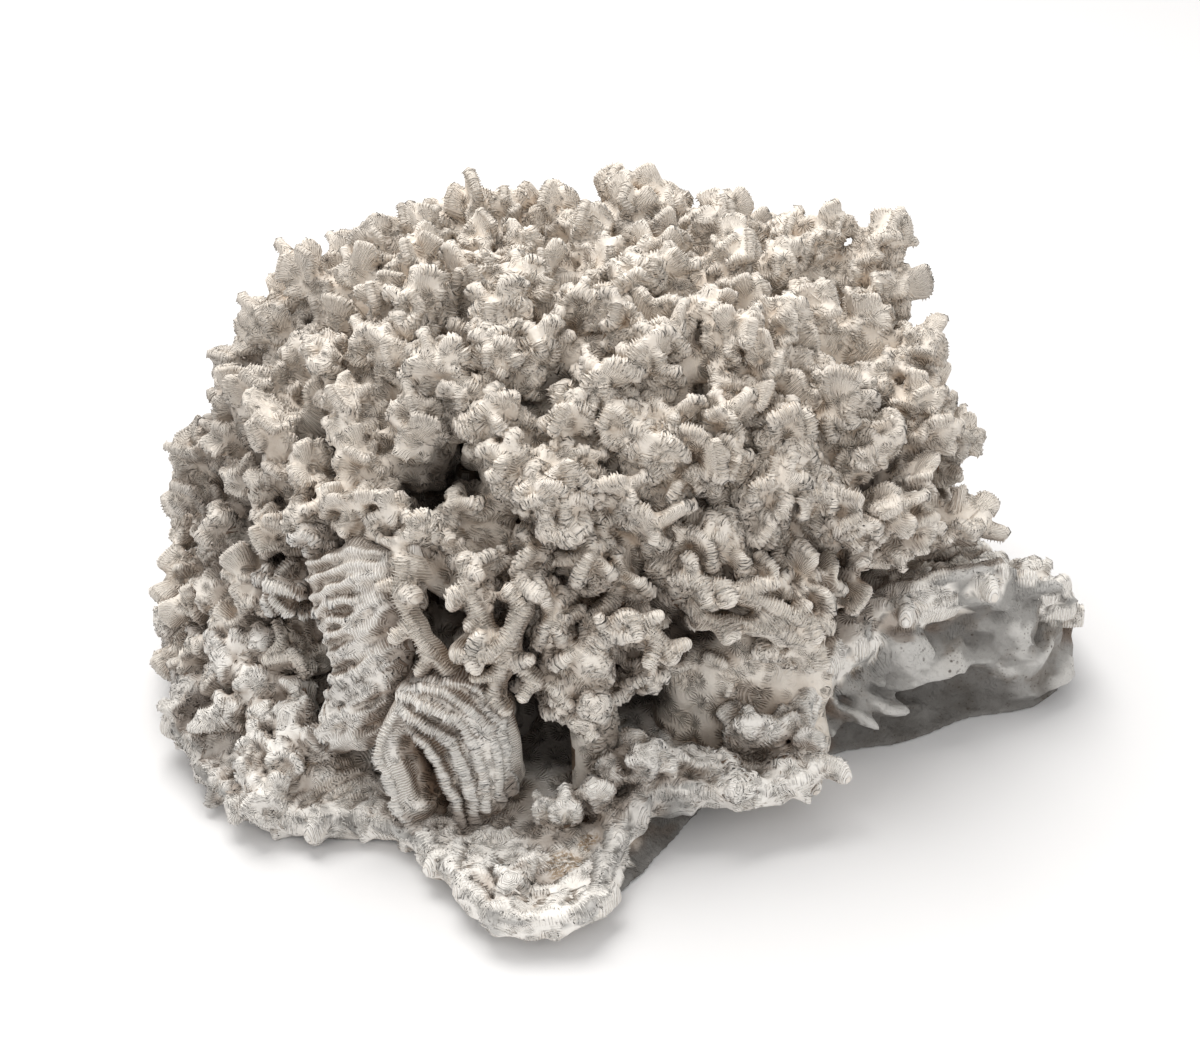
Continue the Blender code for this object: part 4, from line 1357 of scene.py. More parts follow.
@dataclass
class BasePlate(GrownPiece):
    """The tray-like plate: smooth outer wall, thin rim, ribbed floor and small knobs."""

    profile: Profile = field(default_factory=Profile)
    knobs: StemGrower = field(default_factory=lambda: StemGrower(
        wall_height=(2.6, 4.0), crest_radius=1.5, root_radius=2.2, core=(3.4, 2.3), buds=1))
    edge_knobs: int = 75
    rim_radius: float = 1.5
    scallop_pitch: Pair = (3.9, 5.6)
    scallop_length: Pair = (6.0, 20.0)
    scallop_radius: Pair = (1.7, 2.4)
    lumps: int = 260
    fold: float = 4.6
    relief: Array | None = None
    corner: Array | None = None
    terrace: float = 4.4
    cut: float = 0.01

    def spot(self, bearing: float, radius: float, above: float = 0.0) -> Array:
        """Point above the plate's upper side.

        Args:
            bearing: degrees from the front.
            radius: distance from the growth point's axis.
            above: how far above the plate.

        Returns:
            The point.
        """
        out = CANOPY.direction(bearing, 0.0)
        values = self.profile.at(np.array([bearing]))[0]
        top = float(self.profile.top(np.array(radius), values))
        return np.array((CANOPY.centre[0] + out[0] * radius, CANOPY.centre[1] + out[1] * radius, top + above))

    def grow(self, chance: Random) -> None:
        """Lay out the scallops of the rim, the lumps of the floor and the knobs that stand on it."""
        self._rim(chance)
        bearing = -180.0
        while bearing < 180.0:
            rim = self.profile.rim(bearing)
            self._scallop(bearing, rim, chance)
            bearing += math.degrees(chance.uniform(*self.scallop_pitch) / rim)
        for _ in range(self.lumps):
            self._lump(chance)
        for cup in CUPS:
            self._cup(*cup, chance)
        for bearing, radius, width in SILT:
            for _ in range(int(3 * width)):
                spread = chance.gauss(0.0, 0.45 * width), chance.gauss(0.0, 0.45 * width)
                crumb = self.spot(bearing + 0.55 * spread[0], radius + spread[1], 0.6)
                way = np.array((chance.uniform(-1.4, 1.4), chance.uniform(-1.4, 1.4), 0.5))
                self.rods.chain(np.array((crumb, crumb + way)), (chance.uniform(0.7, 1.3), 0.8))
        self._ledge(chance)
        for knob in (*TRAY_KNOBS, *CRUST_KNOBS):
            self._knob(*knob, chance)
        for i in range(self.edge_knobs):
            bearing = chance.uniform(-84.0, -40.0) if i % 3 == 0 else chance.uniform(84.0, 285.0)
            bearing = (bearing + 180.0) % 360.0 - 180.0
            rim = self.profile.rim(bearing)
            radius, height = rim - chance.uniform(4.0, 30.0), chance.uniform(5.0, 10.0)
            self._knob(bearing, radius, height, chance.uniform(0.8, 1.1), chance)

    def _rim(self, chance: Random) -> None:
        """Combed ridge that follows the rim all round, in uneven lobes."""
        for first, last, inset, rise, lobing, lobes in RIM_FRILLS:
            bearings = np.arange(first, last, 0.62)
            values = self.profile.at(bearings)
            swell = np.interp(bearings, np.arange(first, last + lobes, lobes),
                              [chance.uniform(-0.6, 1.3) for _ in np.arange(first, last + lobes, lobes)])
            rays = np.array([CANOPY.direction(bearing, 0.0) for bearing in bearings])
            out = values[:, 1] - inset + 0.8 * lobing * swell
            crest = rays * out[:, None] + (CANOPY.centre[0], CANOPY.centre[1], 0.0)
            crest[:, 2] = values[:, 2] - self.rim_radius + rise + lobing * swell
            for end in (first, last):
                if abs(end) < 180:
                    crest[:, 2] -= 4.5 * (1.0 - ease(np.abs(bearings - end) / 9.0))
            self.rods.wall(crest - (0.0, 0.0, 4.0) - 1.5 * rays, crest, (2.0, self.rim_radius), 0.6, 0.3)
        bearing = -84.0
        while bearing < 58.0:
            self._drip(bearing, chance)
            bearing += chance.uniform(1.0, 4.5)

    def _drip(self, bearing: float, chance: Random) -> None:
        """Short point that hangs from the rim.

        Args:
            bearing: where it hangs, in degrees.
            chance: source of chance.
        """
        rim, height = self.profile.at(np.array([bearing]))[0, 1:3]
        out = CANOPY.direction(bearing, 0.0)
        root = np.array((CANOPY.centre[0], CANOPY.centre[1], height - 2.4)) + out * (rim - 1.2)
        fall = chance.uniform(0.5, 5.5)
        along = np.array((-out[1], out[0], 0.0)) * chance.uniform(-1.5, 1.5)
        way = out * chance.uniform(0.2, 2.6) + along - (0.0, 0.0, fall)
        line = root + np.linspace(0.0, 1.0, 5)[:, None] * way
        self.rods.wall(line - 2.5 * out, line, (1.6, chance.uniform(0.9, 1.3)), chance.random())

    def _scallop(self, bearing: float, rim: float, chance: Random) -> None:
        """Short rounded wall that runs in from the rim.

        Args:
            bearing: where it starts, in degrees.
            rim: radius of the rim there.
            chance: source of chance.
        """
        drift = chance.uniform(-2.5, 2.5)
        long = chance.uniform(*self.scallop_length)
        radii = np.arange(rim - 2.4, rim - long, -1.2)
        share = np.linspace(0.0, 1.0, len(radii))
        rise = chance.uniform(0.2, 1.6) * np.sin(math.pi * np.clip(share * 0.8 + 0.15, 0.0, 1.0))
        line = np.array([self.spot(bearing + drift * t, radius, lift - 0.9)
                         for t, radius, lift in zip(share, radii, rise)])
        width = chance.uniform(*self.scallop_radius)
        self.rods.wall(line - (0, 0, 2.4), line, (width, width), chance.random())

    def _lump(self, chance: Random) -> None:
        """Low rounded lump with septa, anywhere on the tray."""
        bearing = chance.uniform(-60.0, 84.0)
        rim = self.profile.rim(bearing)
        radius = rim - 3.0 - 45.0 * chance.random() ** 1.3
        middle = self.spot(bearing, radius, chance.uniform(-0.8, 1.6))
        steps = np.arange(0.0, chance.uniform(2.5, 8.5), 1.1)
        turns = chance.uniform(0.0, math.tau) + steps * chance.uniform(-0.45, 0.45)
        heads = np.stack((np.cos(turns), np.sin(turns), np.zeros(len(turns))), axis=1)
        line = middle + np.cumsum(heads * 1.1, axis=0)
        self.rods.wall(line - (0, 0, 3.0), line, (2.4, chance.uniform(1.2, 1.8)), chance.random())

    def _cup(self, bearing: float, radius: float, width: float, chance: Random) -> None:
        """Ring of septa round a pit.

        Args:
            bearing: where it lies, in degrees.
            radius: how far out it lies.
            width: half its width.
            chance: source of chance.
        """
        turns = np.linspace(0.0, math.tau, int(5 * width))
        out = np.stack((np.cos(turns), np.sin(turns), np.zeros(len(turns))), axis=1)
        out *= (width * (1.0 + 0.15 * np.sin(2.0 * turns + chance.uniform(0.0, math.tau))))[:, None]
        line = self.spot(bearing, radius, chance.uniform(0.2, 1.2)) + out
        self.rods.wall(line + 0.3 * out - (0, 0, 3.5), line, (1.9, chance.uniform(1.0, 1.4)), chance.random())

    def _ledge(self, chance: Random) -> None:
        """Broken ledge at the left: thin parallel ribs, a spire and a smooth flap."""
        for first, far, last, near in RIBS:
            run = np.linspace(0.0, 1.0, 9)
            line = np.array([self.spot(first + (last - first) * t, far + (near - far) * t, 2.6) for t in run])
            line[:, 2] += 0.8 * np.sin(run * chance.uniform(2.0, 5.0))
            self.rods.wall(line - (0, 0, 4.0), line, (0.9, 0.75), chance.random())
        bearing, radius, height = SPIRE
        foot = self.spot(bearing, radius, -1.0)
        spire = np.array((foot, foot + (0.4, 0.0, 0.5 * height), foot + (0.0, 0.6, height)))
        self.rods.chain(spire, (3.0, 1.2))
        edge = curve_along(np.array([self.spot(*corner) for corner in FLAP]), 1.0)
        for point in edge:
            low = np.array((point[0], point[1], self.profile_floor(point) - 2.0))
            self.rods.add(low, point, (1.8, 1.0), 0.8)

    def profile_floor(self, point: Array) -> float:
        """Height of the plate's upper side under a point."""
        away = point[:2] - CENTRE[:2]
        values = self.profile.at(np.degrees(np.arctan2(away[:1], -away[1:])))
        return float(self.profile.top(np.hypot(*away), values)[0])

    def _knob(self, bearing: float, radius: float, height: float, girth: float, chance: Random) -> None:
        """Small stem that stands on the plate.

        Args:
            bearing: where it stands, in degrees.
            radius: how far out it stands.
            height: how tall it is.
            girth: scale of its width.
            chance: source of chance.
        """
        foot = self.spot(bearing, radius, -2.0)
        ray = unit(UP + 0.45 * CANOPY.direction(bearing, 0.0))
        spine = curve_towards(foot, foot + ray * height * 0.4, foot + ray * (height - 2.0), 1.2)
        self.knobs.clothe(self.rods, spine, ray, girth, 0.1, chance, self.knobs.buds)

    def fuse(self) -> Field:
        """Distances to the plate's own body, which an empty last rod owns, with all that grows on it."""
        grid = Field(np.array((-126.0, -116.0, -3.0)), np.array((136.0, 120.0, 66.0)), self.step)
        grid.distance[:] = self._body(grid)
        self.corner = grid.origin
        grid.owner[:] = len(self.rods.start)
        grid.add_rods(self.rods)
        self.rods.add(np.zeros(3), UP, (0.0, 0.0), 0.5)
        grid.soften(self.soften)
        grid.cut_below(self.cut)
        return grid

    @staticmethod
    def _folded(bearing: Array) -> Array:
        """How strongly the outer wall folds at each bearing: most at the right and the front."""
        right = np.exp(-((bearing - 62.0) / 34.0) ** 2)
        front = np.exp(-((bearing - 5.0) / 14.0) ** 2)
        return (0.2 + 0.8 * right + 0.5 * front)[:, :, None]

    @staticmethod
    def _undercut(bearing: Array, height: Array) -> Array:
        """How far the outer wall steps back under its overhangs and in its pockets.

        Args:
            bearing: bearings of the grid's columns, in degrees.
            height: heights of its levels.

        Returns:
            A depth for each point of the grid.
        """
        table = np.array(OVERHANGS)
        edge = np.interp(bearing, table[:, 0], table[:, 1], period=360.0)
        angle = np.radians(bearing)
        edge = edge + 0.9 * np.sin(angle * 53.0) + 0.6 * np.sin(angle * 91.0 + 1.0)
        back = np.interp(bearing, table[:, 0], table[:, 2], period=360.0)[:, :, None]
        below = edge[:, :, None] - height
        under = back * ease(below / 1.6 + 0.5) * ease((height + 1.0) / 4.5)
        under = under - 0.3 * back * np.exp(-((below + 1.5) / 3.0) ** 2)
        for place, level, width, half, depth in POCKETS:
            aside = np.abs((bearing[:, :, None] - place + 180.0) % 360.0 - 180.0) / width
            under = under + depth * np.exp(-aside ** 2 - ((height - level) / half) ** 2)
        return under

    def mark_more(self, skin: Skin, owner: Array) -> None:
        """Mark the bare underside and outer wall, and the silt that lies on the tray."""
        bare = owner == len(self.rods.start) - 1
        away = skin.points[:, :2] - CENTRE[:2]
        radius = np.hypot(away[:, 0], away[:, 1])
        values = self.profile.at(np.degrees(np.arctan2(away[:, 0], -away[:, 1])))
        sunk = self.profile.top(radius, values) - skin.points[:, 2]
        bearing = np.degrees(np.arctan2(away[:, 0], -away[:, 1]))
        bald = 9.0 * ease((bearing - 66.0) / 6.0) * ease((100.0 - bearing) / 12.0)
        outer = np.maximum(ease((radius - values[:, 1] + 2.6 + bald) / 1.5), ease((sunk - 1.6) / 2.0))
        skin.value("under", bare * outer)
        # Height of the wall's relief, which the finish turns into painted shade in its hollows and painted
        # highlights on its ridges.
        cell = np.rint((skin.points - self.corner) / self.step).astype(int)
        cell = tuple(np.clip(cell, 0, np.array(self.relief.shape) - 1).T)
        skin.value("relief", np.clip((self.relief[cell] + 6.0) / 10.0, 0.0, 1.0))
        heaps = [np.exp(-((skin.points - self.spot(bearing, radius)) ** 2).sum(axis=1) / width ** 2)
                 for bearing, radius, width in SILT]
        skin.value("silt", np.max(heaps, axis=0))

    def _body(self, grid: Field) -> Array:
        """Distance to the bare plate at every grid point.

        Args:
            grid: the grid.

        Returns:
            The distances.
        """
        x = grid.axes[0][:, None] - CANOPY.centre[0]
        y = grid.axes[1][None, :] - CANOPY.centre[1]
        bearing = np.degrees(np.arctan2(x, -y))
        radius = np.hypot(x, y)
        values = self.profile.at(bearing)
        top = self.profile.top(radius, values)
        z = grid.axes[2][None, None, :]
        angle = np.radians(bearing)[:, :, None]
        share = np.clip(z / values[:, :, 2:3], 0.0, 1.0)
        wall = values[:, :, 0:1] + (values[:, :, 1:2] - values[:, :, 0:1]) * share ** 1.3
        pleats = np.sin(angle * 21.0 + 0.05 * z) + 0.6 * np.sin(angle * 37.0 - 0.09 * z)
        wall = wall + 0.8 * pleats * np.sin(math.pi * np.clip(share, 0.05, 1.0))
        rough, fine, tiny = (clouds(grid, size, seed) for seed, size in enumerate((12.0, 5.0, 2.6)))
        drape = angle * 19.0 + 1.7 * rough + 0.9 * np.sin(z / 8.0 + 5.0 * angle) + 0.16 * z
        folds = 1.0 - 1.6 * np.abs(np.sin(drape)) ** 0.7 + 0.4 * np.sin(2.3 * drape + 0.2 * z)
        upper = np.sin(math.pi * np.clip(share * 0.93, 0.0, 1.0))
        folded = self._folded(bearing)
        climb = (z - 42.0 * angle + 5.0 * rough) / 10.5
        climb = climb - np.floor(climb)
        shelf = climb * (1.0 - ease((climb - 0.78) / 0.22)) - 0.35
        relief = self.terrace * shelf + 1.8 * rough + 2.8 * fine + 1.8 * tiny
        relief = (0.15 + folded) * relief * np.clip(share * 2.4, 0.0, 1.0)
        relief = relief + self.fold * folds * upper * folded - self._undercut(bearing, z)
        wall = wall + relief
        self.relief = relief.astype(np.float32)
        slope = np.gradient(top, grid.step)
        steep = np.sqrt(1.0 + slope[0] ** 2 + slope[1] ** 2)[:, :, None]
        above = (z - top[:, :, None]) / np.minimum(steep, 4.0)
        broken = np.exp(-((bearing + 47.0) / 20.0) ** 2)[:, :, None]
        edge = ease((radius - values[..., 1] + 9.0) / 6.0)[:, :, None]
        above = above - (0.4 + 1.0 * edge + 1.3 * broken) * (fine + 0.6 * tiny)
        gap = np.maximum(above, 0.9 * (radius[:, :, None] - wall))
        crumbled = np.maximum(clouds(grid, 3.3, 7) - 0.15, 0.0)
        gap = gap + (0.8 + 5.0 * broken) * crumbled * np.clip(z / 3.0, 0.0, 1.0)
        return np.clip(gap, -9.0, 9.0).astype(np.float32)


class Signal:
    """Number that changes over a surface, for shader maths in plain expressions."""

    def __init__(self, bench: Bench, socket: Socket) -> None:
        """Wrap one output socket of a bench's node."""
        self.bench = bench
        self.socket = socket

    def __add__(self, other: Signal | float) -> Signal:
        """Sum."""
        return self.bench.maths("ADD", self, other)

    def __radd__(self, other: float) -> Signal:
        """Sum, number first."""
        return self.bench.maths("ADD", other, self)

    def __sub__(self, other: Signal | float) -> Signal:
        """Difference."""
        return self.bench.maths("SUBTRACT", self, other)

    def __rsub__(self, other: float) -> Signal:
        """Difference, number first."""
        return self.bench.maths("SUBTRACT", other, self)

    def __mul__(self, other: Signal | float) -> Signal:
        """Product."""
        return self.bench.maths("MULTIPLY", self, other)

    def __rmul__(self, other: float) -> Signal:
        """Product, number first."""
        return self.bench.maths("MULTIPLY", other, self)

    def __truediv__(self, other: Signal | float) -> Signal:
        """Quotient."""
        return self.bench.maths("DIVIDE", self, other)

    def __rtruediv__(self, other: float) -> Signal:
        """Quotient, number first."""
        return self.bench.maths("DIVIDE", other, self)

    def __pow__(self, other: float) -> Signal:
        """Power."""
        return self.bench.maths("POWER", self, other)

    def cosine(self) -> Signal:
        """Cosine of this angle in radians."""
        return self.bench.maths("COSINE", self, 0.0)

    def step(self, low: float, high: float) -> Signal:
        """Smooth rise from 0 at low to 1 at high."""
        ranged = self.bench.node("MapRange", {"interpolation_type": "SMOOTHSTEP", "clamp": True}, {
            "Value": self, "From Min": low, "From Max": high, "To Min": 0.0, "To Max": 1.0})
        return Signal(self.bench, ranged.outputs["Result"])


class Bench:
    """Node tree of a material or of the sky, with one way to make any node."""

    def __init__(self, owner: bpy.types.Material | bpy.types.World) -> None:
        """Empty node tree of its owner."""
        self.owner = owner
        owner.use_nodes = True
        self.tree = owner.node_tree
        self.tree.nodes.clear()

    def node(self, kind: str, settings: dict[str, object] | None = None,
             sockets: dict[str | int, object] | None = None) -> bpy.types.Node:
        """Make a node.

        Args:
            kind: its type, without the word that all of them begin with.
            settings: its properties, set first; "stops" sets the stops of a colour ramp.
            sockets: value or link of each input, by name or number.

        Returns:
            The node.
        """
        made = self.tree.nodes.new("ShaderNode" + kind)
        for name, value in (settings or {}).items():
            if name == "stops":
                self._set_stops(made.color_ramp, value)
            else:
                setattr(made, name, value)
        for name, value in (sockets or {}).items():
            socket = value.socket if isinstance(value, Signal) else value
            if isinstance(socket, Socket):
                self.tree.links.new(socket, made.inputs[name])
            elif made.inputs[name].type == "RGBA":
                made.inputs[name].default_value = (*socket, 1.0)
            else:
                made.inputs[name].default_value = socket
        return made

    @staticmethod
    def _set_stops(ramp: bpy.types.ColorRamp, stops: Sequence[tuple[float, Colour]]) -> None:
        """Give a colour ramp its stops."""
        while len(ramp.elements) < len(stops):
            ramp.elements.new(0.5)
        for element, (place, colour) in zip(ramp.elements, stops):
            element.position = place
            element.color = (*colour, 1.0)

    def maths(self, operation: str, first: Signal | Socket | float,
              second: Signal | Socket | float) -> Signal:
        """Math node on two numbers."""
        made = self.node("Math", {"operation": operation}, {0: first, 1: second})
        return Signal(self, made.outputs[0])

    def value(self, name: str) -> Signal:
        """One of the numbers kept on the skin's points."""
        made = self.node("Attribute", {"attribute_name": name})
        return Signal(self, made.outputs["Fac"])

    def place(self) -> Socket:
        """Position on the object, in millimetres."""
        spot = self.node("TexCoord")
        scaled = self.node("VectorMath", {"operation": "SCALE"}, {
            0: spot.outputs["Object"], "Scale": 1.0 / MM})
        return scaled.outputs[0]

    def noise(self, place: Socket, size: float, detail: float = 2.0) -> Signal:
        """Soft noise from 0 to 1 with patches of a size in millimetres."""
        made = self.node("TexNoise", {"noise_dimensions": "3D"}, {
            "Vector": place, "Scale": 1.0 / size, "Detail": detail, "Roughness": 0.55})
        return Signal(self, made.outputs["Fac"])

    def cells(self, place: Socket, size: float) -> Signal:
        """Distance to the nearest of scattered points a size apart in millimetres."""
        made = self.node("TexVoronoi", {"feature": "F1"}, {
            "Vector": place, "Scale": 1.0 / size, "Randomness": 1.0})
        return Signal(self, made.outputs["Distance"])

    def stars(self, place: Socket, size: float, rays: int) -> tuple[Signal, Signal]:
        """Scattered pits with septa round them.

        Args:
            place: position in millimetres.
            size: distance between pits.
            rays: how many septa stand round each.

        Returns:
            A wave that is 1 on each septum and 0 between two, and the distance from the pit,
            as a share of the size.
        """
        made = self.node("TexVoronoi", {"feature": "F1"}, {
            "Vector": place, "Scale": 1.0 / size, "Randomness": 0.9})
        away = self.node("VectorMath", {"operation": "SUBTRACT"}, {
            0: place, 1: made.outputs["Position"]})
        parts = self.node("SeparateXYZ", None, {"Vector": away.outputs[0]})
        x, y, z = (Signal(self, parts.outputs[name]) for name in "XYZ")
        turn = self.maths("ARCTAN2", x + 0.5 * (z - y), y + z)
        return (turn * rays).cosine() * 0.5 + 0.5, Signal(self, made.outputs["Distance"])

    def mix(self, share: Signal | float, first: object, second: object, blend: str = "MIX") -> object:
        """Mix of two colours.

        Args:
            share: how much of the second.
            first: colour, or the socket of one.
            second: colour, or the socket of one.
            blend: way of mixing.

        Returns:
            The socket of the mixed colour.
        """
        settings = {"data_type": "RGBA", "blend_type": blend, "clamp_factor": True}
        return self.node("Mix", settings, {0: share, 6: first, 7: second}).outputs[2]

    def finish(self, colour: object, roughness: Signal | float, bumps: Sequence[tuple[Signal, float]],
               specular: float) -> bpy.types.Material:
        """Principled surface with layers of relief.

        Args:
            colour: base colour or its socket.
            roughness: roughness.
            bumps: heights from 0 to 1, and the depth of each in millimetres.
            specular: level of the plain reflection.

        Returns:
            The material.
        """
        normal = None
        for height, depth in bumps:
            sockets = {"Height": height, "Distance": depth * MM, "Strength": 1.0}
            if normal is not None:
                sockets["Normal"] = normal
            normal = self.node("Bump", None, sockets).outputs["Normal"]
        surface = self.node("BsdfPrincipled", None, {
            "Base Color": colour, "Roughness": roughness, "Normal": normal, "Specular IOR Level": specular})
        self.node("OutputMaterial", None, {"Surface": surface.outputs["BSDF"]})
        return self.owner


@dataclass(frozen=True)
class CoralFinish:
    """Bleached coral skeleton: pale crests, tan valleys deepened by painted shade, dark gaps between septa
    that are painted shade, painted shade in the recesses, in the deep openings and on the underside, stray
    dirt.
    """

    name: str
    # Ramp colours from valley to crest: the valley's dark brown is partly the hollows' own tan and partly
    # painted shade.
    valley: Colour = (0.24, 0.175, 0.125)
    slope: Colour = (0.74, 0.615, 0.495)
    flesh: Colour = (0.91, 0.83, 0.735)
    # Crest a touch darker than flesh: painted shade that tempers the lit crests.
    crest: Colour = (0.88, 0.825, 0.755)
    tan: Colour = (0.66, 0.53, 0.39)
    grey: Colour = (0.40, 0.38, 0.36)
    # Dark colour of the real dirt specks and pores, and of the painted shade deep in the openings.
    dirt_and_shade: Colour = (0.055, 0.04, 0.03)
    silt: Colour = (0.36, 0.25, 0.15)
    # Colours of the bare underside and outer wall: grey darkened as painted shade, brown stain, painted
    # highlight on the ridges of its relief, and dark stains that also carry painted shade low down and in its
    # hollows.
    under: Colour = (0.37, 0.36, 0.345)
    under_brown: Colour = (0.23, 0.195, 0.16)
    under_highlight: Colour = (0.68, 0.665, 0.64)
    under_stain_and_shade: Colour = (0.10, 0.093, 0.085)
    shadow: Colour = (0.19, 0.115, 0.07)
    # How much painted shade darkens the gaps between septa.
    gap: float = 0.18
    gloom: float = 0.44
    septa_depth: float = 0.42
    pit_depth: float = 0.7
    grain_depth: float = 0.16
    greying: float = 0.35
    soiling: float = 0.6

    def mix_up(self) -> bpy.types.Material:
        """Build the material."""
        bench = Bench(bpy.data.materials.new(self.name))
        place = bench.place()
        blotch = bench.noise(place, 26.0, 3.0)
        patch = bench.noise(place, 7.0, 3.0)
        grain = bench.noise(place, 0.9, 2.0)
        comb, crest, open_to, septa, inner, tint, under, cave, blade, drop = (
            bench.value(name) for name in "comb crest open septa inner tint under cave blade drop".split())
        tooth = (((comb + 0.25 * patch) * math.tau).cosine() * 0.5 + 0.5).step(0.15, 0.7)
        # Lighter on open crests, darker down the walls, in cracks and in the pits: partly the skeleton's own
        # tone, partly painted shade.
        height = 0.35 * (1 - drop) + 0.35 * crest + 0.4 * open_to + 0.05 * blade
        height = height + 0.3 * (patch - 0.5) + 0.25 * (grain - 0.5)
        rays, away = bench.stars(place, 4.4, 17)
        bare = bench.value("pits") * (1 - under)
        ring = away.step(0.1, 0.3) * (1 - away.step(0.42, 0.7)) * bare
        # How closed in a point is, which the painted shade follows.
        deep = 1 - open_to.step(0.15, 0.75)
        dashes = (1 - rays.step(0.1, 0.6)) * ring
        pit = (1 - away.step(0.05, 0.42)) * bare
        height = height - 0.2 * pit
        spot = bench.node("SeparateXYZ", None, {"Vector": place})
        high = Signal(bench, spot.outputs["Z"]).step(50.0, 95.0)
        # Painted shade in the gaps between septa and in the dashes round the pits: more down the walls and
        # where closed in, less high up.
        gap_shade = (1 - tooth) * septa * (1 - blade) * (self.gap + 0.4 * drop + 0.4 * deep - 0.08 * crest)
        gap_shade = gap_shade * (1 - 0.65 * high)
        gap_shade = gap_shade + dashes * (0.2 + 0.5 * deep)
        shade = bench.node("ValToRGB", {"stops": (
            (0.0, self.valley), (0.2, self.slope), (0.45, self.flesh), (0.9, self.crest))}, {"Fac": height})
        # Colour of that painted shade: tan in the open, the valley colour where closed in.
        between = bench.mix(deep.step(0.1, 0.8), self.tan, self.valley)
        colour = bench.mix(gap_shade, shade.outputs["Color"], between)
        leftward = (1 - Signal(bench, spot.outputs["X"]).step(-105.0, -25.0)) * blotch.step(0.3, 0.6)
        crumbs = (bench.value("silt") + 0.5 * grain + 0.4 * patch).step(0.85, 1.1) * grain.step(0.4, 0.55)
        specks = (1 - bench.cells(place, 2.3).step(0.08, 0.26)) * patch.step(0.5, 0.66)
        pores = bench.cells(place, 1.1)
        layers = (
            (self.greying * (blotch + 0.2 * tint).step(0.64, 0.84), self.grey),
            # Greyer towards the left, in broad patches.
            (leftward * 0.3, self.grey),
            # Darker deeper inside the thicket: partly the skeleton's own tone, partly painted shade.
            (inner.step(0.15, 0.95) * 0.5, self.valley),
            (under, self._underside(bench, place, blotch, patch)),
            # Painted shade where the thicket closes in, warm and dark, less of it high up.
            (deep * self.gloom * (1 - 0.75 * high), self.shadow),
            # Painted shade on the top crests, which tones down the highlights of the lamp above.
            (0.16 * high * crest, self.slope),
            (crumbs * 0.8, self.silt),
            (specks * self.soiling * (1.2 - crest * (1 - 0.8 * under)), self.dirt_and_shade),
            (under * (1 - pores.step(0.1, 0.3)) * patch.step(0.4, 0.6) * 0.6, self.dirt_and_shade),
            # Painted shade deep in the openings, in that dark colour.
            (cave * 0.85, self.dirt_and_shade))
        for share, over in layers:
            colour = bench.mix(share, colour, over)
        return bench.finish(colour, 0.88, (
            (away.step(0.0, 0.6) * bare, self.pit_depth), (tooth * septa + rays * ring, self.septa_depth),
            (grain + 0.8 * pores, self.grain_depth), (bench.noise(place, 3.4, 4.0) * under, 1.8)), 0.25)

    def _underside(self, bench: Bench, place: Socket, blotch: Signal, patch: Signal) -> object:
        """Smooth bare skeleton: grey-white darkened by painted shade, clouded with brown stains, with dark
        patches and painted shade low down, painted shade in the hollows of its relief and painted highlights
        on its ridges.

        Args:
            bench: makes the nodes.
            place: position in millimetres.
            blotch: wide noise.
            patch: finer noise.

        Returns:
            The socket of its colour.
        """
        cloud = bench.noise(place, 14.0, 4.0)
        height = bench.node("SeparateXYZ", None, {"Vector": place})
        low = 1 - Signal(bench, height.outputs["Z"]).step(2.0, 26.0)
        brown = (0.6 * cloud + 0.4 * patch).step(0.45, 0.68)
        clouded = bench.mix(brown * 0.75, self.under, self.under_brown)
        # Dark patches at random, with painted shade low down.
        dark = (0.5 * cloud + 0.3 * blotch + 0.25 * low).step(0.5, 0.72)
        clouded = bench.mix(dark * 0.8 + 0.15 * (patch - 0.5), clouded, self.under_stain_and_shade)
        # Painted shade in the hollows of the relief and painted highlights on its ridges.
        relief = bench.value("relief") + 0.35 * (patch - 0.5) + 0.2 * (cloud - 0.5)
        clouded = bench.mix((1 - relief.step(0.05, 0.5)) * 0.6, clouded, self.under_stain_and_shade)
        return bench.mix(relief.step(0.6, 0.95) * 0.8, clouded, self.under_highlight)


@dataclass
class Lamp:
    """Soft square light aimed at the object."""

    name: str
    place: Triple
    width: float
    level: float
    tone: Colour = (1.0, 1.0, 1.0)

    def light(self, aim: Vector) -> None:
        """Hang the light so that it gives a facing surface its share of plain daylight."""
        lamp = bpy.data.lights.new(self.name, "AREA")
        lamp.size = self.width
        lamp.color = self.tone
        spot = Vector(self.place)
        lamp.energy = self.level * math.pi ** 2 * (spot - aim).length_squared
        holder = placed(self.name, lamp)
        holder.location = spot
        holder.rotation_euler = (aim - spot).to_track_quat("-Z", "Y").to_euler()


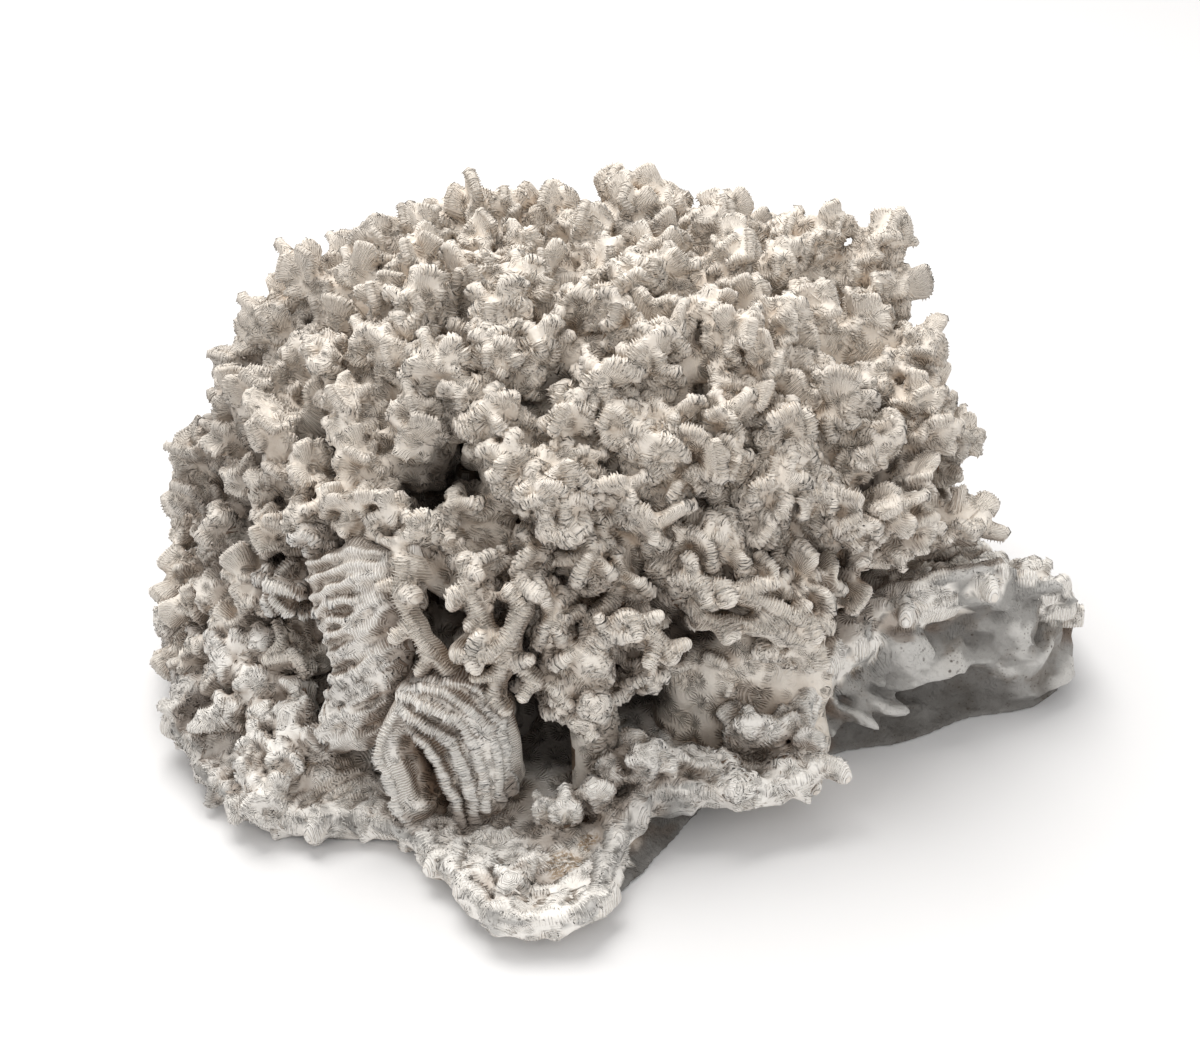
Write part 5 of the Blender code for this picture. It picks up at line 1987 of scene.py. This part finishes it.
@dataclass
class Studio:
    """Pale floor, soft lamps, plain sky and the camera."""

    aim: Triple = (0.0, 0.0, 0.048)
    climb: float = 32.0
    distance: float = 0.6
    lens: float = 70.0
    floor_size: float = 6.0
    floor_colour: Colour = (0.80, 0.80, 0.81)
    sky_level: float = 0.70
    sky_tone: Colour = (1.0, 0.99, 0.975)
    sky_seen: Colour = (0.86, 0.86, 0.87)
    lamps: tuple[Lamp, ...] = (
        Lamp("lamp_above", (-0.22, 0.28, 0.95), 0.7, 0.94, (1.0, 0.98, 0.95)),
        Lamp("lamp_front", (0.15, -0.95, 0.62), 0.9, 0.15, (1.0, 0.985, 0.965)),
    )

    def set_up(self) -> None:
        """Make the floor, the lights and the camera."""
        self._floor()
        self._sky()
        for lamp in self.lamps:
            lamp.light(Vector(self.aim))
        self._camera()

    def _floor(self) -> None:
        """Large pale floor just under the object."""
        half = self.floor_size / 2
        mesh = bpy.data.meshes.new("floor")
        corners = [(-half, -half, 0), (half, -half, 0), (half, half, 0), (-half, half, 0)]
        mesh.from_pydata(corners, [], [(0, 1, 2, 3)])
        floor = placed("floor", mesh)
        bench = Bench(bpy.data.materials.new("pale_floor"))
        grain = bench.noise(bench.place(), 1.5)
        mesh.materials.append(bench.finish(self.floor_colour, 0.9, ((grain, 0.02),), 0.2))

    def _sky(self) -> None:
        """Even pale light from all round, a little brighter where it is seen directly."""
        world = bpy.data.worlds.new("sky")
        bpy.context.scene.world = world
        bench = Bench(world)
        paths = bench.node("LightPath").outputs
        direct = bench.maths("MAXIMUM", paths["Is Camera Ray"], paths["Is Glossy Ray"])
        glow, seen = (bench.node("Background", None, {"Color": tone, "Strength": level}).outputs[0]
                      for tone, level in ((self.sky_tone, self.sky_level), (self.sky_seen, 1.0)))
        blend = bench.node("MixShader", None, {0: direct, 1: glow, 2: seen})
        bench.node("OutputWorld", None, {"Surface": blend.outputs[0]})

    def _camera(self) -> None:
        """Camera in front, looking down at the object."""
        lens = bpy.data.cameras.new("camera")
        lens.lens = self.lens
        lens.sensor_width = 36.0
        lens.clip_start = 0.01
        camera = placed("camera", lens)
        climb = math.radians(self.climb)
        back = Vector((0.0, -math.cos(climb), math.sin(climb)))
        camera.location = Vector(self.aim) + back * self.distance
        camera.rotation_euler = (-back).to_track_quat("-Z", "Y").to_euler()
        bpy.context.scene.camera = camera


@dataclass
class Colony:
    """The whole specimen: plate, fan, ear and boughs."""

    seed: int = 41
    tries: int = 1400
    room: float = 12.0
    bare_sectors: tuple[Triple, ...] = ((-53, -19, 46), (-19, 46, 24), (40, 84, 33))

    def stems(self) -> list[Stem]:
        """Every stem: those listed one by one, then the rows at the back."""
        chance = Random(STEM_SEED)
        stems = [Stem(*stem) for stem in STEMS]
        for climb, first, last, count in BACK_ROWS:
            for i in range(count):
                bearing = first + (last - first) * i / (count - 1) + chance.uniform(-BACK_JITTER, BACK_JITTER)
                bearing = (bearing + 180.0) % 360.0 - 180.0
                rise = climb + chance.uniform(-BACK_JITTER, BACK_JITTER)
                stems.append(Stem(bearing, rise, chance.uniform(-2.0, 4.0), 1.1))
        stems += self._between(stems, chance)
        for stem in stems:
            stem.reach = ROOM.reach(stem.bearing, stem.climb, stem.reach)
        return stems

    def _between(self, stems: list[Stem], chance: Random) -> list[Stem]:
        """Lower stems that fill the wider gaps of the thicket.

        Args:
            stems: the stems that stand already.
            chance: source of chance.

        Returns:
            The new stems.
        """
        tips = [CANOPY.point(stem.bearing, stem.climb) for stem in stems]
        filling = []
        for i in range(self.tries):
            climb = math.degrees(math.asin((i + 0.5) / self.tries))
            bearing = (i * GOLDEN_ANGLE + 180.0) % 360.0 - 180.0
            tip = CANOPY.point(bearing, climb)
            bare = any(low[0] < bearing < low[1] and climb < low[2] for low in self.bare_sectors)
            crowded = min(np.linalg.norm(np.array(tips) - tip, axis=1)) < self.room
            if bare or crowded or climb < 6.0 or any(hole.holds(tip) for hole in OPENINGS):
                continue
            tips.append(tip)
            filling.append(Stem(bearing, climb, chance.uniform(-7.0, -2.0), chance.uniform(0.75, 0.95)))
        return filling

    def pieces(self) -> list[GrownPiece]:
        """The pieces with their stems shared out, each stem to the nearest bough."""
        boughs = [Bough(name.replace("bough", "branches"), name, Slot.BRANCH, bearing=bearing, climb=climb,
                        septa=FURRY if abs(bearing) < FURRY_WITHIN else Septa())
                  for name, bearing, climb in BOUGHS]
        fan = RidgedLamina("fan_ridges", "left_fan", Slot.RIDGED, bearing=FAN_AXIS[0], climb=FAN_AXIS[1],
                           step=0.8, ridges=FAN_RIDGES, septa=FURRY)
        ear = RidgedLamina("ear_ridges", "front_ear", Slot.RIDGED, bearing=EAR_AXIS[0], climb=EAR_AXIS[1],
                           step=0.8, shoulder=(*EAR_RIDGES, EAR_EDGE), groove=EAR_GROOVE,
                           septa=FURRY, depth=5.0)
        grown = [*boughs, fan, ear]
        rays = np.array([CANOPY.direction(piece.bearing, piece.climb) for piece in grown])
        stems = self.stems()
        owners = [grown[int(np.argmax(rays @ CANOPY.direction(stem.bearing, stem.climb)))] for stem in stems]
        for stem, owner in zip(stems, owners):
            owner.stems.append(stem)
        for arm in ARMS:
            spine = CANOPY.line(arm)
            middle = unit(spine[len(spine) // 2] - CENTRE)
            boughs[int(np.argmax(rays[:len(boughs)] @ middle))].arms.append(spine)
        Web().weave(stems, owners, Random(self.seed))
        by_node = {piece.node: piece for piece in grown}
        column = curve_along(CANOPY.line(COLUMN), 1.2)
        knobby = StemGrower(wall_height=(1.8, 3.4), core=(5.6, 4.6), crest_radius=1.4,
                            lobe_length=(4.0, 6.5), lean=0.3)
        knobby.clothe(by_node["bough_front"].rods, column, np.array((0.0, -0.35, 0.94)), 1.15, 0.0,
                      Random(self.seed), 9)
        first, last, step, low, high, depth = BACK_WALL
        for bearing in np.arange(first, last, step):
            back = depth - 7.0 * (1.0 - ease((bearing - first) / 9.0))
            wall = np.array([CANOPY.point(bearing, climb, back + 1.6 * math.sin(0.5 * climb + bearing))
                             for climb in np.linspace(low, high, 7)])
            by_node["bough_front_right"].rods.chain(wall, (6.5, 6.5))
        return [BasePlate("plate_tray", "base_plate", Slot.PLATE, step=0.95), *grown]

    def build(self) -> None:
        """Grow and finish every piece."""
        finishes = {
            Slot.PLATE: CoralFinish(
                "coral_plate", valley=(0.20, 0.155, 0.12), slope=(0.55, 0.475, 0.40),
                flesh=(0.83, 0.77, 0.70), crest=(0.94, 0.91, 0.865), greying=0.5, soiling=0.8).mix_up(),
            Slot.BRANCH: CoralFinish("coral_branches").mix_up(),
            # Ridges: their brighter crests are painted highlights, and their darker valley, slope and tan,
            # with the stronger gap and gloom, are painted shade in the grooves.
            Slot.RIDGED: CoralFinish(
                "coral_ridges", valley=(0.16, 0.13, 0.105), slope=(0.52, 0.45, 0.38),
                flesh=(0.83, 0.77, 0.70), crest=(0.95, 0.92, 0.875), tan=(0.42, 0.34, 0.26),
                greying=0.45, gap=0.4, gloom=0.6).mix_up(),
        }
        pieces = self.pieces()
        surroundings = Field(np.array((-130.0, -120.0, -4.0)), np.array((140.0, 124.0, 136.0)), 2.0, 9.0)
        for number, piece in enumerate(pieces):
            piece.grow(Random(self.seed + number))
            surroundings.add_rods(piece.rods)
        for piece in pieces:
            piece.build(finishes[piece.slot], surroundings)


def main() -> None:
    """Build the specimen and the studio, and note the sizes."""
    logging.basicConfig(level=logging.INFO, format="%(name)s: %(message)s")
    LOG.info("%d nodes to dress", len(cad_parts))
    Colony().build()
    Studio().set_up()
    bpy.context.scene.view_settings.view_transform = "Standard"


if __name__ == "__main__":
    main()
